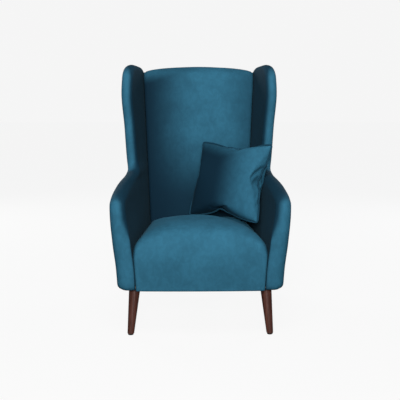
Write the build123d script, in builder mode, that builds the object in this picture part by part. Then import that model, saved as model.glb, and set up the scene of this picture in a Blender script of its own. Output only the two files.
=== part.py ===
"""Wing-backed upholstered armchair on turned splayed legs, with a loose scatter cushion.

Millimetres. +Z is up, the chair faces -Y, and the origin is on the floor below the middle of the chair.
"""

import os
from collections import namedtuple

from build123d import *

# Heights, stacked from the floor up
leg_height = 185.0
arm_rise = 360.0
arm_slope_rise = 69.0
wing_rise = 452.0
seat_rise = 252.0
deck_rise = 100.0
rail_height = 86.0
arm_height = leg_height + arm_rise
wing_foot_height = arm_height + arm_slope_rise
wing_height = wing_foot_height + wing_rise
seat_height = leg_height + seat_rise
deck_height = leg_height + deck_rise

# Depths along Y, measured from the origin
wing_front = 12.0
arm_reach = 380.0
arm_front = wing_front - arm_reach
seat_front = arm_front - 19.0
rear_at_base = 327.0
rear_at_top = 377.0
joint_at_base = 128.0
joint_at_top = 240.0

# Half widths along X
base_half_width = 312.0
arm_half_width = 346.0
wing_foot_half_width = 308.0
wing_half_width = 337.0
outer_rear_at_base = 264.0
outer_rear_at_top = 300.0
inner_rear_at_base = 216.0
inner_rear_at_top = 257.0

# Upholstery
arm_thickness = 62.0
arm_base_thickness = 72.0
wing_thickness = 48.0
wing_bends = (0.1, 0.41, 0.72)
cover = 3.0
clearance = 0.4
seam_setback = 8.0
seat_gap = 3.0
seat_bow = 6.0
corner_share = 0.44
back_crown = 20.0
back_tuck = 14.0

# Timber frame
post_width = 30.0
post_depth = 34.0
rail_thickness = 27.0
arm_rail_width = 26.0
arm_rail_height = 40.0
stile_width = 22.0
stile_depth = 30.0
block_height = 45.0
block_reach = 78.0

# Seat springs, their clips and the felt on them
spring_wire = 1.8
spring_loops = 20
spring_count = 5
spring_spacing = 74.0
spring_width = 50.0
clip_width = 14.0
clip_depth = 9.0
clip_wall = 1.5
felt = 3.0

# Back frame
back_stile_width = 26.0
back_stile_x = 192.0
back_frame_depth = 34.0
back_frame_drop = 63.0
web_width = 50.0
web_thickness = 2.0
web_count = 5

# Legs
leg_top_radius = 22.5
leg_foot_radius = 13.0
front_leg_top = (256.0, -300.0)
front_leg_foot = (272.0, -322.0)
rear_leg_top = (208.0, 262.0)
rear_leg_foot = (224.0, 332.0)
glide_radius = 11.0
glide_height = 5.0
nail_radius = 1.5
nail_length = 16.0
bolt_radius = 4.0
bolt_in_leg = 32.0
bolt_in_block = 38.0
nut_barrel_radius = 5.0
nut_flange_radius = 11.0
nut_flange = 2.0
nut_length = 12.0
fit = 0.05

# Panels closing the back and the underside
board = 3.5
dust_cover = 1.2
staple_crown = 11.0
staple_wire = 0.6
staple_leg = 7.0

# Scatter cushion
cushion_half_width = 172.0
cushion_half_height = 162.0
cushion_draw = 14.0
cushion_half_thickness = 64.0
piping_radius = 3.5
cushion_y = -44.0
cushion_above_seat = 145.2
cushion_from_arm = 130.42
cushion_across = (0.7944, -0.607, -0.003)
cushion_up = (0.200, 0.257, 0.945)

os.makedirs("parts", exist_ok=True)

# Heights of the frame inside the upholstery
underside_recess = 1.6
frame_bottom = leg_height + underside_recess + dust_cover + 0.2
rail_top = frame_bottom + rail_height
leg_top_height = leg_height + underside_recess - 0.2
spring_height = rail_top + clip_wall + spring_wire + 0.2
felt_height = spring_height + spring_wire + clip_wall + 0.2
pad_inset = cover + clearance

Station = namedtuple("Station", "z front half_width thickness rear_drop narrow")
SeatLevel = namedtuple("SeatLevel", "z front_inset side_inset rear_inset rear_bow corner")
BackLevel = namedtuple("BackLevel", "z side_inset push rear_drop")
CushionLevel = namedtuple("CushionLevel", "height inset")

# Half width where the slope of the arm runs out, and heights at which the front edge of the wing bends
slope_half_width = wing_foot_half_width + 12
wing_bend_heights = [wing_foot_height + share * wing_rise for share in wing_bends]

# Wing and arm of the right side: one upright pad, given by its level sections from the base up
stations = [
    Station(leg_height, arm_front + 18, base_half_width, arm_base_thickness - 2, 0, 0),
    Station(leg_height + 0.22 * arm_rise, arm_front + 7, base_half_width + 14, arm_base_thickness, 0, 0),
    Station(leg_height + 0.5 * arm_rise, arm_front + 1, arm_half_width - 9, arm_base_thickness, 0, 0),
    Station(leg_height + 0.8 * arm_rise, arm_front, arm_half_width - 1, arm_thickness + 1, 0, 0),
    Station(arm_height - 20, arm_front + 10, arm_half_width, arm_thickness - 2, 0, 0),
    Station(arm_height + 5, arm_front + 44, arm_half_width - 1, arm_thickness - 2, 0, 0),
    Station(arm_height + 0.42 * arm_slope_rise, arm_front + 133, arm_half_width - 7, arm_thickness - 2, 0, 0),
    Station(arm_height + 0.74 * arm_slope_rise, arm_front + 258, slope_half_width, arm_thickness - 5, 0, 0),
    Station(wing_foot_height, wing_front - 32, wing_foot_half_width, wing_thickness + 4, 0, 0),
    Station(wing_bend_heights[0], wing_front, wing_foot_half_width + 5, wing_thickness, 0, 0),
    Station(wing_bend_heights[1], wing_front + 2, wing_half_width - 10, wing_thickness - 1, 0, 0),
    Station(wing_bend_heights[2], wing_front - 8, wing_half_width, wing_thickness, 0, 0),
    Station(wing_height - 56, wing_front, wing_half_width - 3, wing_thickness, 0, 0),
    Station(wing_height - 22, wing_front + 28, wing_half_width - 7, wing_thickness - 2, 6, 1),
    Station(wing_height - 6, wing_front + 70, wing_half_width - 15, wing_thickness - 12, 60, 6),
    Station(wing_height, wing_front + 108, wing_half_width - 25, wing_thickness - 32, 110, 14),
]

# Seat pad, from its lower edge to its crown
seat_levels = [
    SeatLevel(leg_height, 12, 0, 0, -28, 16),
    SeatLevel(leg_height + 0.46 * seat_rise, 0, 0, 0, -28, 18),
    SeatLevel(seat_height - 87, 1, 0, 0, -28, 20),
    SeatLevel(seat_height - 55, 10, 8, 10, -28, 26),
    SeatLevel(seat_height - 33, 25, 24, 90, -16, 40),
    SeatLevel(seat_height - 17, 49, 50, 175, 6, 55),
    SeatLevel(seat_height - 7, 86, 90, 240, 14, 58),
    SeatLevel(seat_height, 150, 150, 290, 20, 48),
]

# Back pad, from the deck to its crowned top
back_levels = [
    BackLevel(deck_height + 0.3, 0, 0, 0),
    BackLevel(wing_height - 66, 0, 0, 0),
    BackLevel(wing_height - 46, 0, 3, 0),
    BackLevel(wing_height - 28, 9, 12, 0),
    BackLevel(wing_height - 16, 54, 26, 8),
    BackLevel(wing_height - 6, 124, 46, 25),
    BackLevel(wing_height, 194, 70, 45),
]

# One half of the scatter cushion, from its seam to its crown
cushion_levels = [
    CushionLevel(0.0, 0.0),
    CushionLevel(0.31, 8.0),
    CushionLevel(0.59, 24.0),
    CushionLevel(0.81, 52.0),
    CushionLevel(0.94, 90.0),
    CushionLevel(1.0, 122.0),
]


def between(z, at_base, at_top):
    """Value at height z on the straight line from the base to the wing's top."""
    return at_base + (at_top - at_base) * (z - leg_height) / (wing_height - leg_height)


def rear_y(z):
    return between(z, rear_at_base, rear_at_top)


def joint_y(z):
    return between(z, joint_at_base, joint_at_top)


def outer_rear(z):
    return between(z, outer_rear_at_base, outer_rear_at_top)


def inner_rear(z):
    return between(z, inner_rear_at_base, inner_rear_at_top)


def station_at(z):
    """Section of the side pad at height z, on the straight run between its neighbours."""
    upper = 1
    while upper < len(stations) - 1 and stations[upper].z < z:
        upper += 1
    low, high = stations[upper - 1], stations[upper]
    share = (z - low.z) / (high.z - low.z)
    return Station(*(a + (b - a) * share for a, b in zip(low, high)))


def side_outline(station, inset=0.0, rear_shift=0.0):
    """Corner points of a side pad's section, from its outer rear round the nose to its inner rear."""
    outer = station.half_width - inset
    inner = station.half_width - station.thickness + inset
    nose = 0.42 * (outer - inner)
    tip = station.front + inset
    rear = rear_y(station.z) - station.rear_drop + rear_shift
    rear_outer = outer_rear(station.z) - station.narrow - inset
    rear_inner = inner_rear(station.z) + station.narrow + inset
    joint = max(joint_y(station.z) + 20, tip + nose + 25)
    return (
        (rear_outer, rear),
        (outer, tip + nose),
        ((outer + inner) / 2, tip),
        (inner, tip + nose),
        (rear_inner, joint),
        (rear_inner, rear),
    )


def along(y, start, end):
    """x at y on the straight line from start to end."""
    return start[0] + (end[0] - start[0]) * (y - start[1]) / (end[1] - start[1])


def outer_x(y, z):
    outline = side_outline(station_at(z))
    return along(y, outline[1], outline[0])


def inner_x(y, z):
    outline = side_outline(station_at(z))
    return along(min(y, outline[4][1]), outline[3], outline[4])


def mid_x(y, z):
    return (outer_x(y, z) + inner_x(y, z)) / 2


def save(part, name):
    """Labels a piece and writes it out."""
    part.label = name
    export_step(part, "parts/" + name + ".step")


def mirrored(part):
    """The same piece for the left side."""
    with BuildPart() as copy:
        mirror(objects=part, about=Plane.YZ)
    return copy.part


def save_pair(part, name):
    save(mirrored(part), name + "_left")
    save(part, name + "_right")


def side_body(inset=0.0, rear_shift=0.0, bottom=leg_height):
    """Side pad as one solid, drawn in by inset all round except at its rear and base."""
    levels = [station_at(bottom)] + stations[1:-1]
    levels.append(stations[-1]._replace(z=wing_height - inset))
    with BuildPart() as body:
        for level in levels:
            a, b, tip, c, d, e = side_outline(level, inset, rear_shift)
            with BuildSketch(Plane.XY.offset(level.z)):
                with BuildLine():
                    Line(a, b)
                    ThreePointArc(b, tip, c)
                    Polyline(c, d, e, a)
                make_face()
        loft(ruled=True)
    return body.part


def outside_strip(depth, setback):
    """Zone of the side pad that its outside panel takes, to a depth below the outer face."""
    levels = [station_at(leg_height - 15)] + stations[1:-1] + [stations[-1]._replace(z=wing_height + 15)]
    with BuildPart() as strip:
        for level in levels:
            a, b, tip, c, d, e = side_outline(level, 0.0, 25.0)
            front = b[1] + setback
            front_x = along(front, b, a)
            with BuildSketch(Plane.XY.offset(level.z)):
                with BuildLine():
                    Polyline(
                        (front_x - depth, front),
                        (front_x + 20, front),
                        (a[0] + 20, a[1]),
                        (a[0] - depth, a[1]),
                        close=True,
                    )
                make_face()
        loft(ruled=True)
    return strip.part


def seat_body(inset=0.0, bottom=leg_height):
    """Seat pad as one solid: upright front and sides with a crowned top."""
    levels = [level for level in seat_levels if level.z > bottom]
    levels.insert(0, seat_levels[0]._replace(z=bottom))
    levels[-1] = levels[-1]._replace(z=seat_height - inset)
    with BuildPart() as body:
        for level in levels:
            front = seat_front + level.front_inset + inset
            rear = joint_y(level.z) + back_tuck - 6 - level.rear_inset - inset
            narrowing = seat_gap + level.side_inset + inset
            front_half = inner_x(front, level.z) - narrowing
            rear_half = inner_x(rear, level.z) - narrowing
            side_front = front + seat_bow
            with BuildSketch(Plane.XY.offset(level.z)) as section:
                with BuildLine():
                    ThreePointArc((-front_half, side_front), (0, front), (front_half, side_front))
                    Line((front_half, side_front), (rear_half, rear))
                    ThreePointArc((rear_half, rear), (0, rear + level.rear_bow), (-rear_half, rear))
                    Line((-rear_half, rear), (-front_half, side_front))
                make_face()
                fillet(section.vertices(), min(level.corner, corner_share * (rear - front)))
        loft(ruled=True)
    return body.part


def back_body(inset=0.0, rear_shift=0.0, bottom_shift=0.0):
    """Inside back pad as one solid, rolled over at its top."""
    levels = list(back_levels)
    levels[0] = levels[0]._replace(z=levels[0].z + bottom_shift)
    levels[-1] = levels[-1]._replace(z=wing_height - inset)
    with BuildPart() as body:
        for level in levels:
            half = inner_rear(level.z) - seat_gap - level.side_inset - inset
            joint = joint_y(level.z) + level.push + inset
            rear = rear_y(level.z) - level.rear_drop + rear_shift
            side_y = joint + back_tuck
            with BuildSketch(Plane.XY.offset(level.z)):
                with BuildLine():
                    Polyline((-half, side_y), (-half, rear), (half, rear), (half, side_y))
                    ThreePointArc((half, side_y), (0, joint - back_crown), (-half, side_y))
                make_face()
        loft(ruled=True)
    return body.part


def box(x, y, z):
    """Box between three pairs of limits."""
    with BuildPart() as block:
        with BuildSketch(Plane.XY.offset(z[0])):
            with Locations(((x[0] + x[1]) / 2, (y[0] + y[1]) / 2)):
                Rectangle(x[1] - x[0], y[1] - y[0])
        extrude(amount=z[1] - z[0])
    return block.part


def post(points, width, depth):
    """Upright timber through level sections, sawn straight from one to the next."""
    with BuildPart() as bar:
        for point in points:
            with BuildSketch(Plane(point)):
                Rectangle(width, depth)
        loft(ruled=True)
    return bar.part


def rail(front, rear, width, height):
    """Timber between two ends that face along Y."""
    with BuildPart() as bar:
        for point in (front, rear):
            with BuildSketch(Plane(point, x_dir=(1, 0, 0), z_dir=(0, 1, 0))):
                Rectangle(width, height)
        loft(ruled=True)
    return bar.part


def cut(part, *others):
    """The part with others taken away."""
    with BuildPart() as left:
        add(part)
        for other in others:
            add(other, mode=Mode.SUBTRACT)
    return left.part


def common(part, other):
    """What two parts share."""
    with BuildPart() as shared:
        add(part)
        add(other, mode=Mode.INTERSECT)
    return shared.part


def group(*parts):
    """Loose pieces kept in one node."""
    return Compound(children=list(parts))


# Timbers of the right-hand side, each built true and again with clearance for the padding around it
post_y = arm_front + 46
post_top = arm_height - 34
back_post_setback = 6 + post_depth / 2
back_post_top = wing_height - 40
arm_rail_front = arm_height - 42
arm_rail_rear = arm_height + 13
wing_stile_y = wing_front + 36
wing_stile_top = wing_height - 46
wing_rail_z = wing_height - 66
front_rail_y = arm_front + 34.5
back_rail_y = rear_at_base - 6 - rail_thickness / 2


def side_timbers(grow, rail_spread=0.0):
    """Posts and rails inside the right side pad, grown by a clearance; rail_spread widens the arm rail."""
    w = 2 * grow
    front_low = (mid_x(post_y, frame_bottom), post_y, frame_bottom - grow)
    front_high = (mid_x(post_y, post_top), post_y, post_top + grow)
    rear_low_y = rear_y(frame_bottom) - back_post_setback
    rear_high_y = rear_y(back_post_top) - back_post_setback
    rear_low = (mid_x(rear_low_y, frame_bottom), rear_low_y, frame_bottom - grow)
    rear_high = (mid_x(rear_high_y, back_post_top), rear_high_y, back_post_top + grow)
    front_post = post((front_low, front_high), post_width + w, post_depth + w)
    back_post = post((rear_low, rear_high), post_width + w, post_depth + w)
    rail_front_y = post_y + post_depth / 2
    rail_rear_y = rear_y(arm_rail_rear) - back_post_setback
    arm_rail = rail(
        (mid_x(rail_front_y, arm_rail_front), rail_front_y, arm_rail_front),
        (mid_x(rail_rear_y, arm_rail_rear), rail_rear_y, arm_rail_rear),
        arm_rail_width + w + rail_spread,
        arm_rail_height + w,
    )
    stile_foot = arm_rail_front + (arm_rail_rear - arm_rail_front) * (wing_stile_y - rail_front_y) / (
        rail_rear_y - rail_front_y
    )
    stile_line = [(mid_x(wing_stile_y, stile_foot + arm_rail_height / 2), wing_stile_y, stile_foot)]
    for z in wing_bend_heights:
        stile_line.append((mid_x(wing_stile_y, z), wing_stile_y, z))
    stile_line.append((mid_x(wing_stile_y, wing_stile_top), wing_stile_y, wing_stile_top + grow))
    wing_stile = post(stile_line, stile_width + w, stile_depth + w)
    wing_rail_front = wing_stile_y + stile_depth / 2
    wing_rail_rear = rear_y(wing_rail_z) - back_post_setback
    wing_rail = rail(
        (mid_x(wing_rail_front, wing_rail_z), wing_rail_front, wing_rail_z),
        (mid_x(wing_rail_rear, wing_rail_z), wing_rail_rear, wing_rail_z),
        stile_width - 2 + w,
        stile_depth + w,
    )
    side_rail = rail(
        (side_rail_x(rail_front_y), rail_front_y, frame_bottom + rail_height / 2),
        (side_rail_x(rear_low_y), rear_low_y, frame_bottom + rail_height / 2),
        rail_thickness + w,
        rail_height + w,
    )
    return front_post, back_post, arm_rail, wing_stile, wing_rail, side_rail


def front_post_x(z):
    """Middle of the straight front post at height z."""
    low, high = mid_x(post_y, frame_bottom), mid_x(post_y, post_top)
    return low + (high - low) * (z - frame_bottom) / (post_top - frame_bottom)


def side_rail_x(y):
    """Middle of the seat's side rail, set in from the outer face of the side pad."""
    front = (outer_x(post_y, frame_bottom) - 25, post_y)
    rear = (outer_x(back_rail_y, frame_bottom) - 22, back_rail_y)
    return along(y, front, rear)


front_post, back_post, arm_rail, wing_stile, wing_rail, side_rail = side_timbers(0.0)
arm_rail = cut(arm_rail, back_post)
wing_stile = cut(wing_stile, side_timbers(0.0, 2 * arm_rail_width)[2])
wing_rail = cut(wing_rail, back_post)
side_rail = cut(side_rail, back_post)
timber_room = side_timbers(clearance)

# Seat box rails between the posts of the two sides
rail_z = (frame_bottom, rail_top)
front_rail_depth = (front_rail_y - rail_thickness / 2, front_rail_y + rail_thickness / 2)
back_rail_depth = (back_rail_y - rail_thickness / 2, back_rail_y + rail_thickness / 2)
front_rail_half = mid_x(post_y, frame_bottom)
back_rail_half = mid_x(back_rail_y, frame_bottom)
front_rail = cut(
    box((-front_rail_half, front_rail_half), front_rail_depth, rail_z), front_post, mirrored(front_post)
)
back_seat_rail = cut(
    box((-back_rail_half, back_rail_half), back_rail_depth, rail_z), back_post, mirrored(back_post)
)
box_room_front = front_rail_depth[0] - clearance
box_room_rear = back_rail_depth[1] + clearance
with BuildPart() as box_room:
    with BuildSketch(Plane.XY.offset(leg_height - 50)):
        with BuildLine():
            Polyline(
                (0, box_room_front),
                (side_rail_x(box_room_front), box_room_front),
                (side_rail_x(box_room_rear), box_room_rear),
                (0, box_room_rear),
                close=True,
            )
        make_face()
    extrude(amount=rail_top + clearance - leg_height + 50)

# Corner blocks that stiffen the seat box and take the leg bolts
block_z = (frame_bottom, frame_bottom + block_height)


def corner_block(corner_y, reach):
    """Three-cornered block between a cross rail and the right side rail."""
    far_y = corner_y + reach
    corner_x = side_rail_x(corner_y) - rail_thickness / 2
    with BuildPart() as block:
        with BuildSketch(Plane.XY.offset(block_z[0])):
            with BuildLine():
                Polyline(
                    (corner_x, corner_y),
                    (corner_x - block_reach, corner_y),
                    (side_rail_x(far_y) - rail_thickness / 2, far_y),
                    close=True,
                )
            make_face()
        extrude(amount=block_height)
    return block.part


LegAxis = namedtuple("LegAxis", "top foot plane")


def leg_axis(top, foot):
    """Ends of a leg and the tilted plane at its top whose normal runs up the leg."""
    upper = Vector(top[0], top[1], leg_top_height)
    lower = Vector(foot[0], foot[1], glide_height)
    return LegAxis(upper, lower, Plane(upper, z_dir=upper - lower))


def rod(plane, low, high, radius):
    """Round bar along the normal of a plane, between two distances from it."""
    with BuildPart() as bar:
        with BuildSketch(plane.offset(low)):
            Circle(radius)
        extrude(amount=high - low)
    return bar.part


def leg(axis):
    """Turned tapering leg, bored for its bolt and its glide nail."""
    with BuildPart() as shaft:
        with BuildSketch(Plane(axis.top)):
            Circle(leg_top_radius)
        with BuildSketch(Plane(axis.foot)):
            Circle(leg_foot_radius)
        loft(ruled=True)
        add(rod(axis.plane, -bolt_in_leg - 0.2, 5, bolt_radius + fit), mode=Mode.SUBTRACT)
        add(rod(Plane(axis.foot), -5, nail_length + 0.2, nail_radius + fit), mode=Mode.SUBTRACT)
        chamfer(shaft.faces().sort_by(Axis.Z)[0].outer_wire().edges(), 1.0)
    return shaft.part


def glide(axis):
    """Nylon disc under a foot."""
    with BuildPart() as disc:
        with BuildSketch(Plane((axis.foot.X, axis.foot.Y, 0))):
            Circle(glide_radius)
        extrude(amount=glide_height)
        chamfer(disc.edges().sort_by(Axis.Z)[0], 1.2)
        add(rod(Plane(axis.foot), -glide_height + 1.5, 5, nail_radius + fit), mode=Mode.SUBTRACT)
    return disc.part


def tee_nut(axis):
    """Flanged nut let into the top of a corner block."""
    with BuildPart() as nut:
        add(rod(axis.plane, bolt_in_block - nut_length, bolt_in_block, nut_barrel_radius))
        add(rod(axis.plane, bolt_in_block, bolt_in_block + nut_flange, nut_flange_radius))
        add(rod(axis.plane, 0, bolt_in_block + nut_length, bolt_radius + fit), mode=Mode.SUBTRACT)
    return nut.part


axes = {
    "front_leg": leg_axis(front_leg_top, front_leg_foot),
    "rear_leg": leg_axis(rear_leg_top, rear_leg_foot),
}
blocks = [
    cut(corner_block(front_rail_depth[1], block_reach), front_post),
    cut(corner_block(back_rail_depth[0], -block_reach), back_post),
]
bored_blocks = []
for block, axis in zip(blocks, axes.values()):
    shank = rod(axis.plane, -20, bolt_in_block + 1, nut_barrel_radius + 0.2)
    recess = rod(axis.plane, bolt_in_block, bolt_in_block + 30, nut_flange_radius + 0.5)
    bored_blocks.append(cut(block, shank, recess))

save_pair(front_post, "front_post")
save_pair(back_post, "back_post")
save_pair(arm_rail, "arm_rail")
save_pair(wing_stile, "wing_stile")
save_pair(wing_rail, "wing_rail")
save_pair(side_rail, "side_seat_rail")
save(front_rail, "front_seat_rail")
save(back_seat_rail, "back_seat_rail")
save(group(*bored_blocks, *(mirrored(block) for block in bored_blocks)), "corner_blocks")

bolts = []
nuts = []
glides = []
nails = []
for name, axis in axes.items():
    save_pair(leg(axis), name)
    bolts.append(rod(axis.plane, -bolt_in_leg, bolt_in_block, bolt_radius))
    nuts.append(tee_nut(axis))
    glides.append(glide(axis))
    nails.append(rod(Plane(axis.foot), -glide_height + 1.7, nail_length, nail_radius))
save(group(*bolts, *(mirrored(bolt) for bolt in bolts)), "leg_bolts")
save(group(*nuts, *(mirrored(nut) for nut in nuts)), "leg_tee_nuts")
save(group(*glides, *(mirrored(disc) for disc in glides)), "foot_glides")
save(group(*nails, *(mirrored(nail) for nail in nails)), "glide_nails")

# Serpentine seat springs, tied across by two wires and held on the rails by clips
spring_pitch = (back_rail_y - front_rail_y) / spring_loops
spring_reach = spring_width / 2 - spring_pitch / 2
with BuildPart() as spring:
    with BuildLine() as spring_path:
        for loop in range(spring_loops + 1):
            y = front_rail_y + loop * spring_pitch
            side = 1 if loop % 2 == 0 else -1
            Line((-side * spring_reach, y, spring_height), (side * spring_reach, y, spring_height))
            if loop < spring_loops:
                ThreePointArc(
                    (side * spring_reach, y, spring_height),
                    (side * spring_width / 2, y + spring_pitch / 2, spring_height),
                    (side * spring_reach, y + spring_pitch, spring_height),
                )
    with BuildSketch(Plane((-spring_reach, front_rail_y, spring_height), z_dir=(1, 0, 0))):
        Circle(spring_wire)
    sweep()
spring_xs = [(index - (spring_count - 1) / 2) * spring_spacing for index in range(spring_count)]
save(group(*(Pos(x, 0, 0) * spring.part for x in spring_xs)), "seat_springs")

clip_height = spring_height - rail_top + spring_wire + clip_wall
with BuildPart() as clip:
    with BuildSketch(Plane.XY.offset(rail_top)):
        Rectangle(clip_width, clip_depth)
    extrude(amount=clip_height)
    add(
        rod(Plane((0, 0, spring_height), z_dir=(1, 0, 0)), -clip_width, clip_width, spring_wire + 0.2),
        mode=Mode.SUBTRACT,
    )
save(
    group(*(Pos(x, y, 0) * clip.part for x in spring_xs for y in (front_rail_y, back_rail_y))),
    "spring_clips",
)

tie_radius = 1.3
tie_half = spring_xs[-1] + spring_width / 2 + 12
tie_z = spring_height - spring_wire - tie_radius - 0.2
tie_ys = [front_rail_y + row * spring_pitch for row in (6.5, 13.5)]
save(
    group(*(rod(Plane((0, y, tie_z), z_dir=(1, 0, 0)), -tie_half, tie_half, tie_radius) for y in tie_ys)),
    "spring_tie_wires",
)

with BuildPart() as spring_felt:
    felt_front = front_rail_depth[0] + 2
    felt_rear = back_rail_depth[0] - 6
    felt_front_half = inner_x(post_y, felt_height) - 18
    felt_rear_half = inner_rear(felt_height) - 16
    with BuildSketch(Plane.XY.offset(felt_height)):
        with BuildLine():
            Polyline(
                (-felt_front_half, felt_front),
                (felt_front_half, felt_front),
                (felt_rear_half, felt_rear),
                (-felt_rear_half, felt_rear),
                close=True,
            )
        make_face()
    extrude(amount=felt)
save(spring_felt.part, "spring_felt")

# Frame of the inside back, with webbing on its front
back_frame_setback = clearance + back_frame_depth / 2
back_frame_top = wing_height - back_frame_drop
back_rails = {
    "back_tack_rail": (deck_height + 40, 42.0),
    "back_lumbar_rail": (deck_height + 300, 42.0),
    "back_top_rail": (back_frame_top - 20, 40.0),
}
back_lean = Vector(0, rear_at_top - rear_at_base, wing_height - leg_height).normalized()


def back_plane(z, setback):
    """Plane that leans with the back, at a height on its middle line; its normal points to the rear."""
    normal = Vector(0, back_lean.Z, -back_lean.Y)
    return Plane((0, rear_y(z) - setback, z), x_dir=(-1, 0, 0), z_dir=normal)


def back_bar(z, setback, width, height, thickness):
    """Level bar that leans with the back, its front face set back from the rear face of the frame."""
    with BuildPart() as bar:
        with BuildSketch(back_plane(z, setback)):
            Rectangle(width, height)
        extrude(amount=thickness)
    return bar.part


stile_ends = [
    (back_stile_x, rear_y(z) - back_frame_setback, z) for z in (rail_top + 0.3, back_frame_top)
]
back_stile = post(stile_ends, back_stile_width, back_frame_depth)
save_pair(back_stile, "back_stile")
stile_front = clearance + back_frame_depth
inner_span = 2 * back_stile_x - back_stile_width
for name, (z, height) in back_rails.items():
    bar = back_bar(z, stile_front - web_thickness - 0.3, inner_span, height, back_frame_depth - 6)
    save(bar, name)

web_low = deck_height + 90
web_high = back_frame_top - 80
web_span = 2 * back_stile_x + back_stile_width - 8
webs = []
for index in range(web_count):
    z = web_low + (web_high - web_low) * index / (web_count - 1)
    webs.append(back_bar(z, stile_front + web_thickness + 0.05, web_span, web_width, web_thickness))
rail_zs = [z for z, height in back_rails.values()]
long_web = (rail_zs[-1] - rail_zs[0]) / back_lean.Z + 30
for x in (-0.3 * inner_span, 0.0, 0.3 * inner_span):
    with BuildPart() as upright:
        with BuildSketch(back_plane((rail_zs[0] + rail_zs[-1]) / 2, stile_front)):
            with Locations((x, 0)):
                Rectangle(web_width, long_web)
        extrude(amount=web_thickness)
    webs.append(upright.part)
save(group(*webs), "back_webbing")

# Bolts that join the back frame to the sides
back_bolt_radius = 4.0
back_bolt_head = 5.0
back_bolts = []
bolt_rooms = []
for z in (deck_height + 165, deck_height + 595):
    y = rear_y(z) - back_frame_setback
    start = back_stile_x - back_stile_width / 2
    end = mid_x(y, z) + 6
    plane = Plane((0, y, z), z_dir=(1, 0, 0))
    with BuildPart() as bolt:
        add(rod(plane, start, end, back_bolt_radius))
        add(rod(plane, start - back_bolt_head, start, 2 * back_bolt_radius))
    back_bolts.append(bolt.part)
    bolt_rooms.append(rod(plane, start, end + clearance, back_bolt_radius + clearance))
save(group(*back_bolts, *(mirrored(bolt) for bolt in back_bolts)), "back_bolts")

# Room for the back frame behind the inside back pad
frame_room_depth = stile_front + web_thickness + 2 * clearance
with BuildPart() as frame_room:
    with BuildSketch(Plane.YZ):
        with BuildLine():
            Polyline(
                (rear_y(leg_height) - frame_room_depth, leg_height),
                (rear_y(back_frame_top) - frame_room_depth, back_frame_top + clearance),
                (rear_y(back_frame_top) + 60, back_frame_top + clearance),
                (rear_y(leg_height) + 60, leg_height),
                close=True,
            )
        make_face()
    extrude(amount=arm_half_width, both=True)

# Room for the seat box below the seat pad
seat_room = box(
    (-arm_half_width, arm_half_width),
    (front_rail_depth[0] - clearance, rear_at_top + 50),
    (leg_height - 50, deck_height),
)

# Padding
save(cut(seat_body(pad_inset, leg_height + pad_inset), seat_room), "seat_foam")
save(cut(back_body(pad_inset, -clearance, pad_inset), frame_room.part), "back_foam")
side_foam = cut(
    side_body(pad_inset, -clearance, frame_bottom + 0.2), *timber_room, box_room.part, *bolt_rooms
)
save_pair(side_foam, "side_foam")

# Covers
seat_cover = cut(seat_body(), seat_body(cover, leg_height - 20), seat_room)
save(seat_cover, "seat_cover")
inside_back_cover = cut(back_body(), back_body(cover, 20, -20), frame_room.part)
save(inside_back_cover, "inside_back_cover")
side_shell = cut(side_body(), side_body(cover, 20, leg_height - 15))
save_pair(common(side_shell, outside_strip(seam_setback, seam_setback)), "outside_cover")
with BuildPart() as tuck_room:
    with BuildSketch(Plane.YZ):
        with BuildLine():
            Polyline(
                (joint_y(leg_height) + 60, leg_height - 50),
                (joint_y(wing_height - 70) + 60, wing_height - 70),
                (rear_at_top + 60, wing_height - 70),
                (rear_at_top + 60, leg_height - 50),
                close=True,
            )
        make_face()
    extrude(amount=arm_half_width, both=True)
inside_cover = cut(
    side_shell,
    outside_strip(seam_setback + clearance, seam_setback - clearance),
    tuck_room.part,
    box((0, arm_half_width), (front_rail_depth[0] - clearance, rear_at_top), (leg_height - 50, deck_height)),
)
save_pair(inside_cover, "inside_cover")

# Board and panel that close the back
def back_panel(setback, thickness, margin):
    """Sheet over the rear of the chair, with a crowned top edge."""
    corner_z = wing_height - 30 - margin
    top_z = wing_height - 6 - margin
    low_half = outer_rear(leg_height) - margin
    high_half = outer_rear(corner_z) - margin
    with BuildPart() as panel:
        with BuildSketch(back_plane(leg_height, setback)) as outline:
            with BuildLine():
                low = 1.0
                high = (corner_z - leg_height) / back_lean.Z
                crown = (top_z - leg_height) / back_lean.Z
                Polyline((-high_half, high), (-low_half, low), (low_half, low), (high_half, high))
                ThreePointArc((high_half, high), (0, crown), (-high_half, high))
            make_face()
            fillet(outline.vertices().group_by(Axis.Z)[-1], 16)
        extrude(amount=thickness)
    return panel.part


save(back_panel(-clearance, board, 1.0), "outside_back_board")
save(back_panel(-clearance - board - clearance, cover, 0.0), "outside_back_cover")

# Dust cover under the seat box, with its staples
dust_front = front_rail_depth[0] + 9
dust_rear = back_rail_depth[1] - 4
dust_bottom = leg_height + underside_recess
dust_front_half = outer_x(dust_front, dust_bottom) - cover - 4
dust_rear_half = outer_x(dust_rear, dust_bottom) - cover - 4
with BuildPart() as dust_sheet:
    with BuildSketch(Plane.XY.offset(dust_bottom)):
        with BuildLine():
            Polyline(
                (-dust_front_half, dust_front),
                (dust_front_half, dust_front),
                (dust_rear_half, dust_rear),
                (-dust_rear_half, dust_rear),
                close=True,
            )
        make_face()
    extrude(amount=dust_cover)
leg_bores = [rod(axis.plane, -20, 20, nut_barrel_radius + 0.5) for axis in axes.values()]
save(cut(dust_sheet.part, *leg_bores, *(mirrored(bore) for bore in leg_bores)), "dust_cover")


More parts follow.
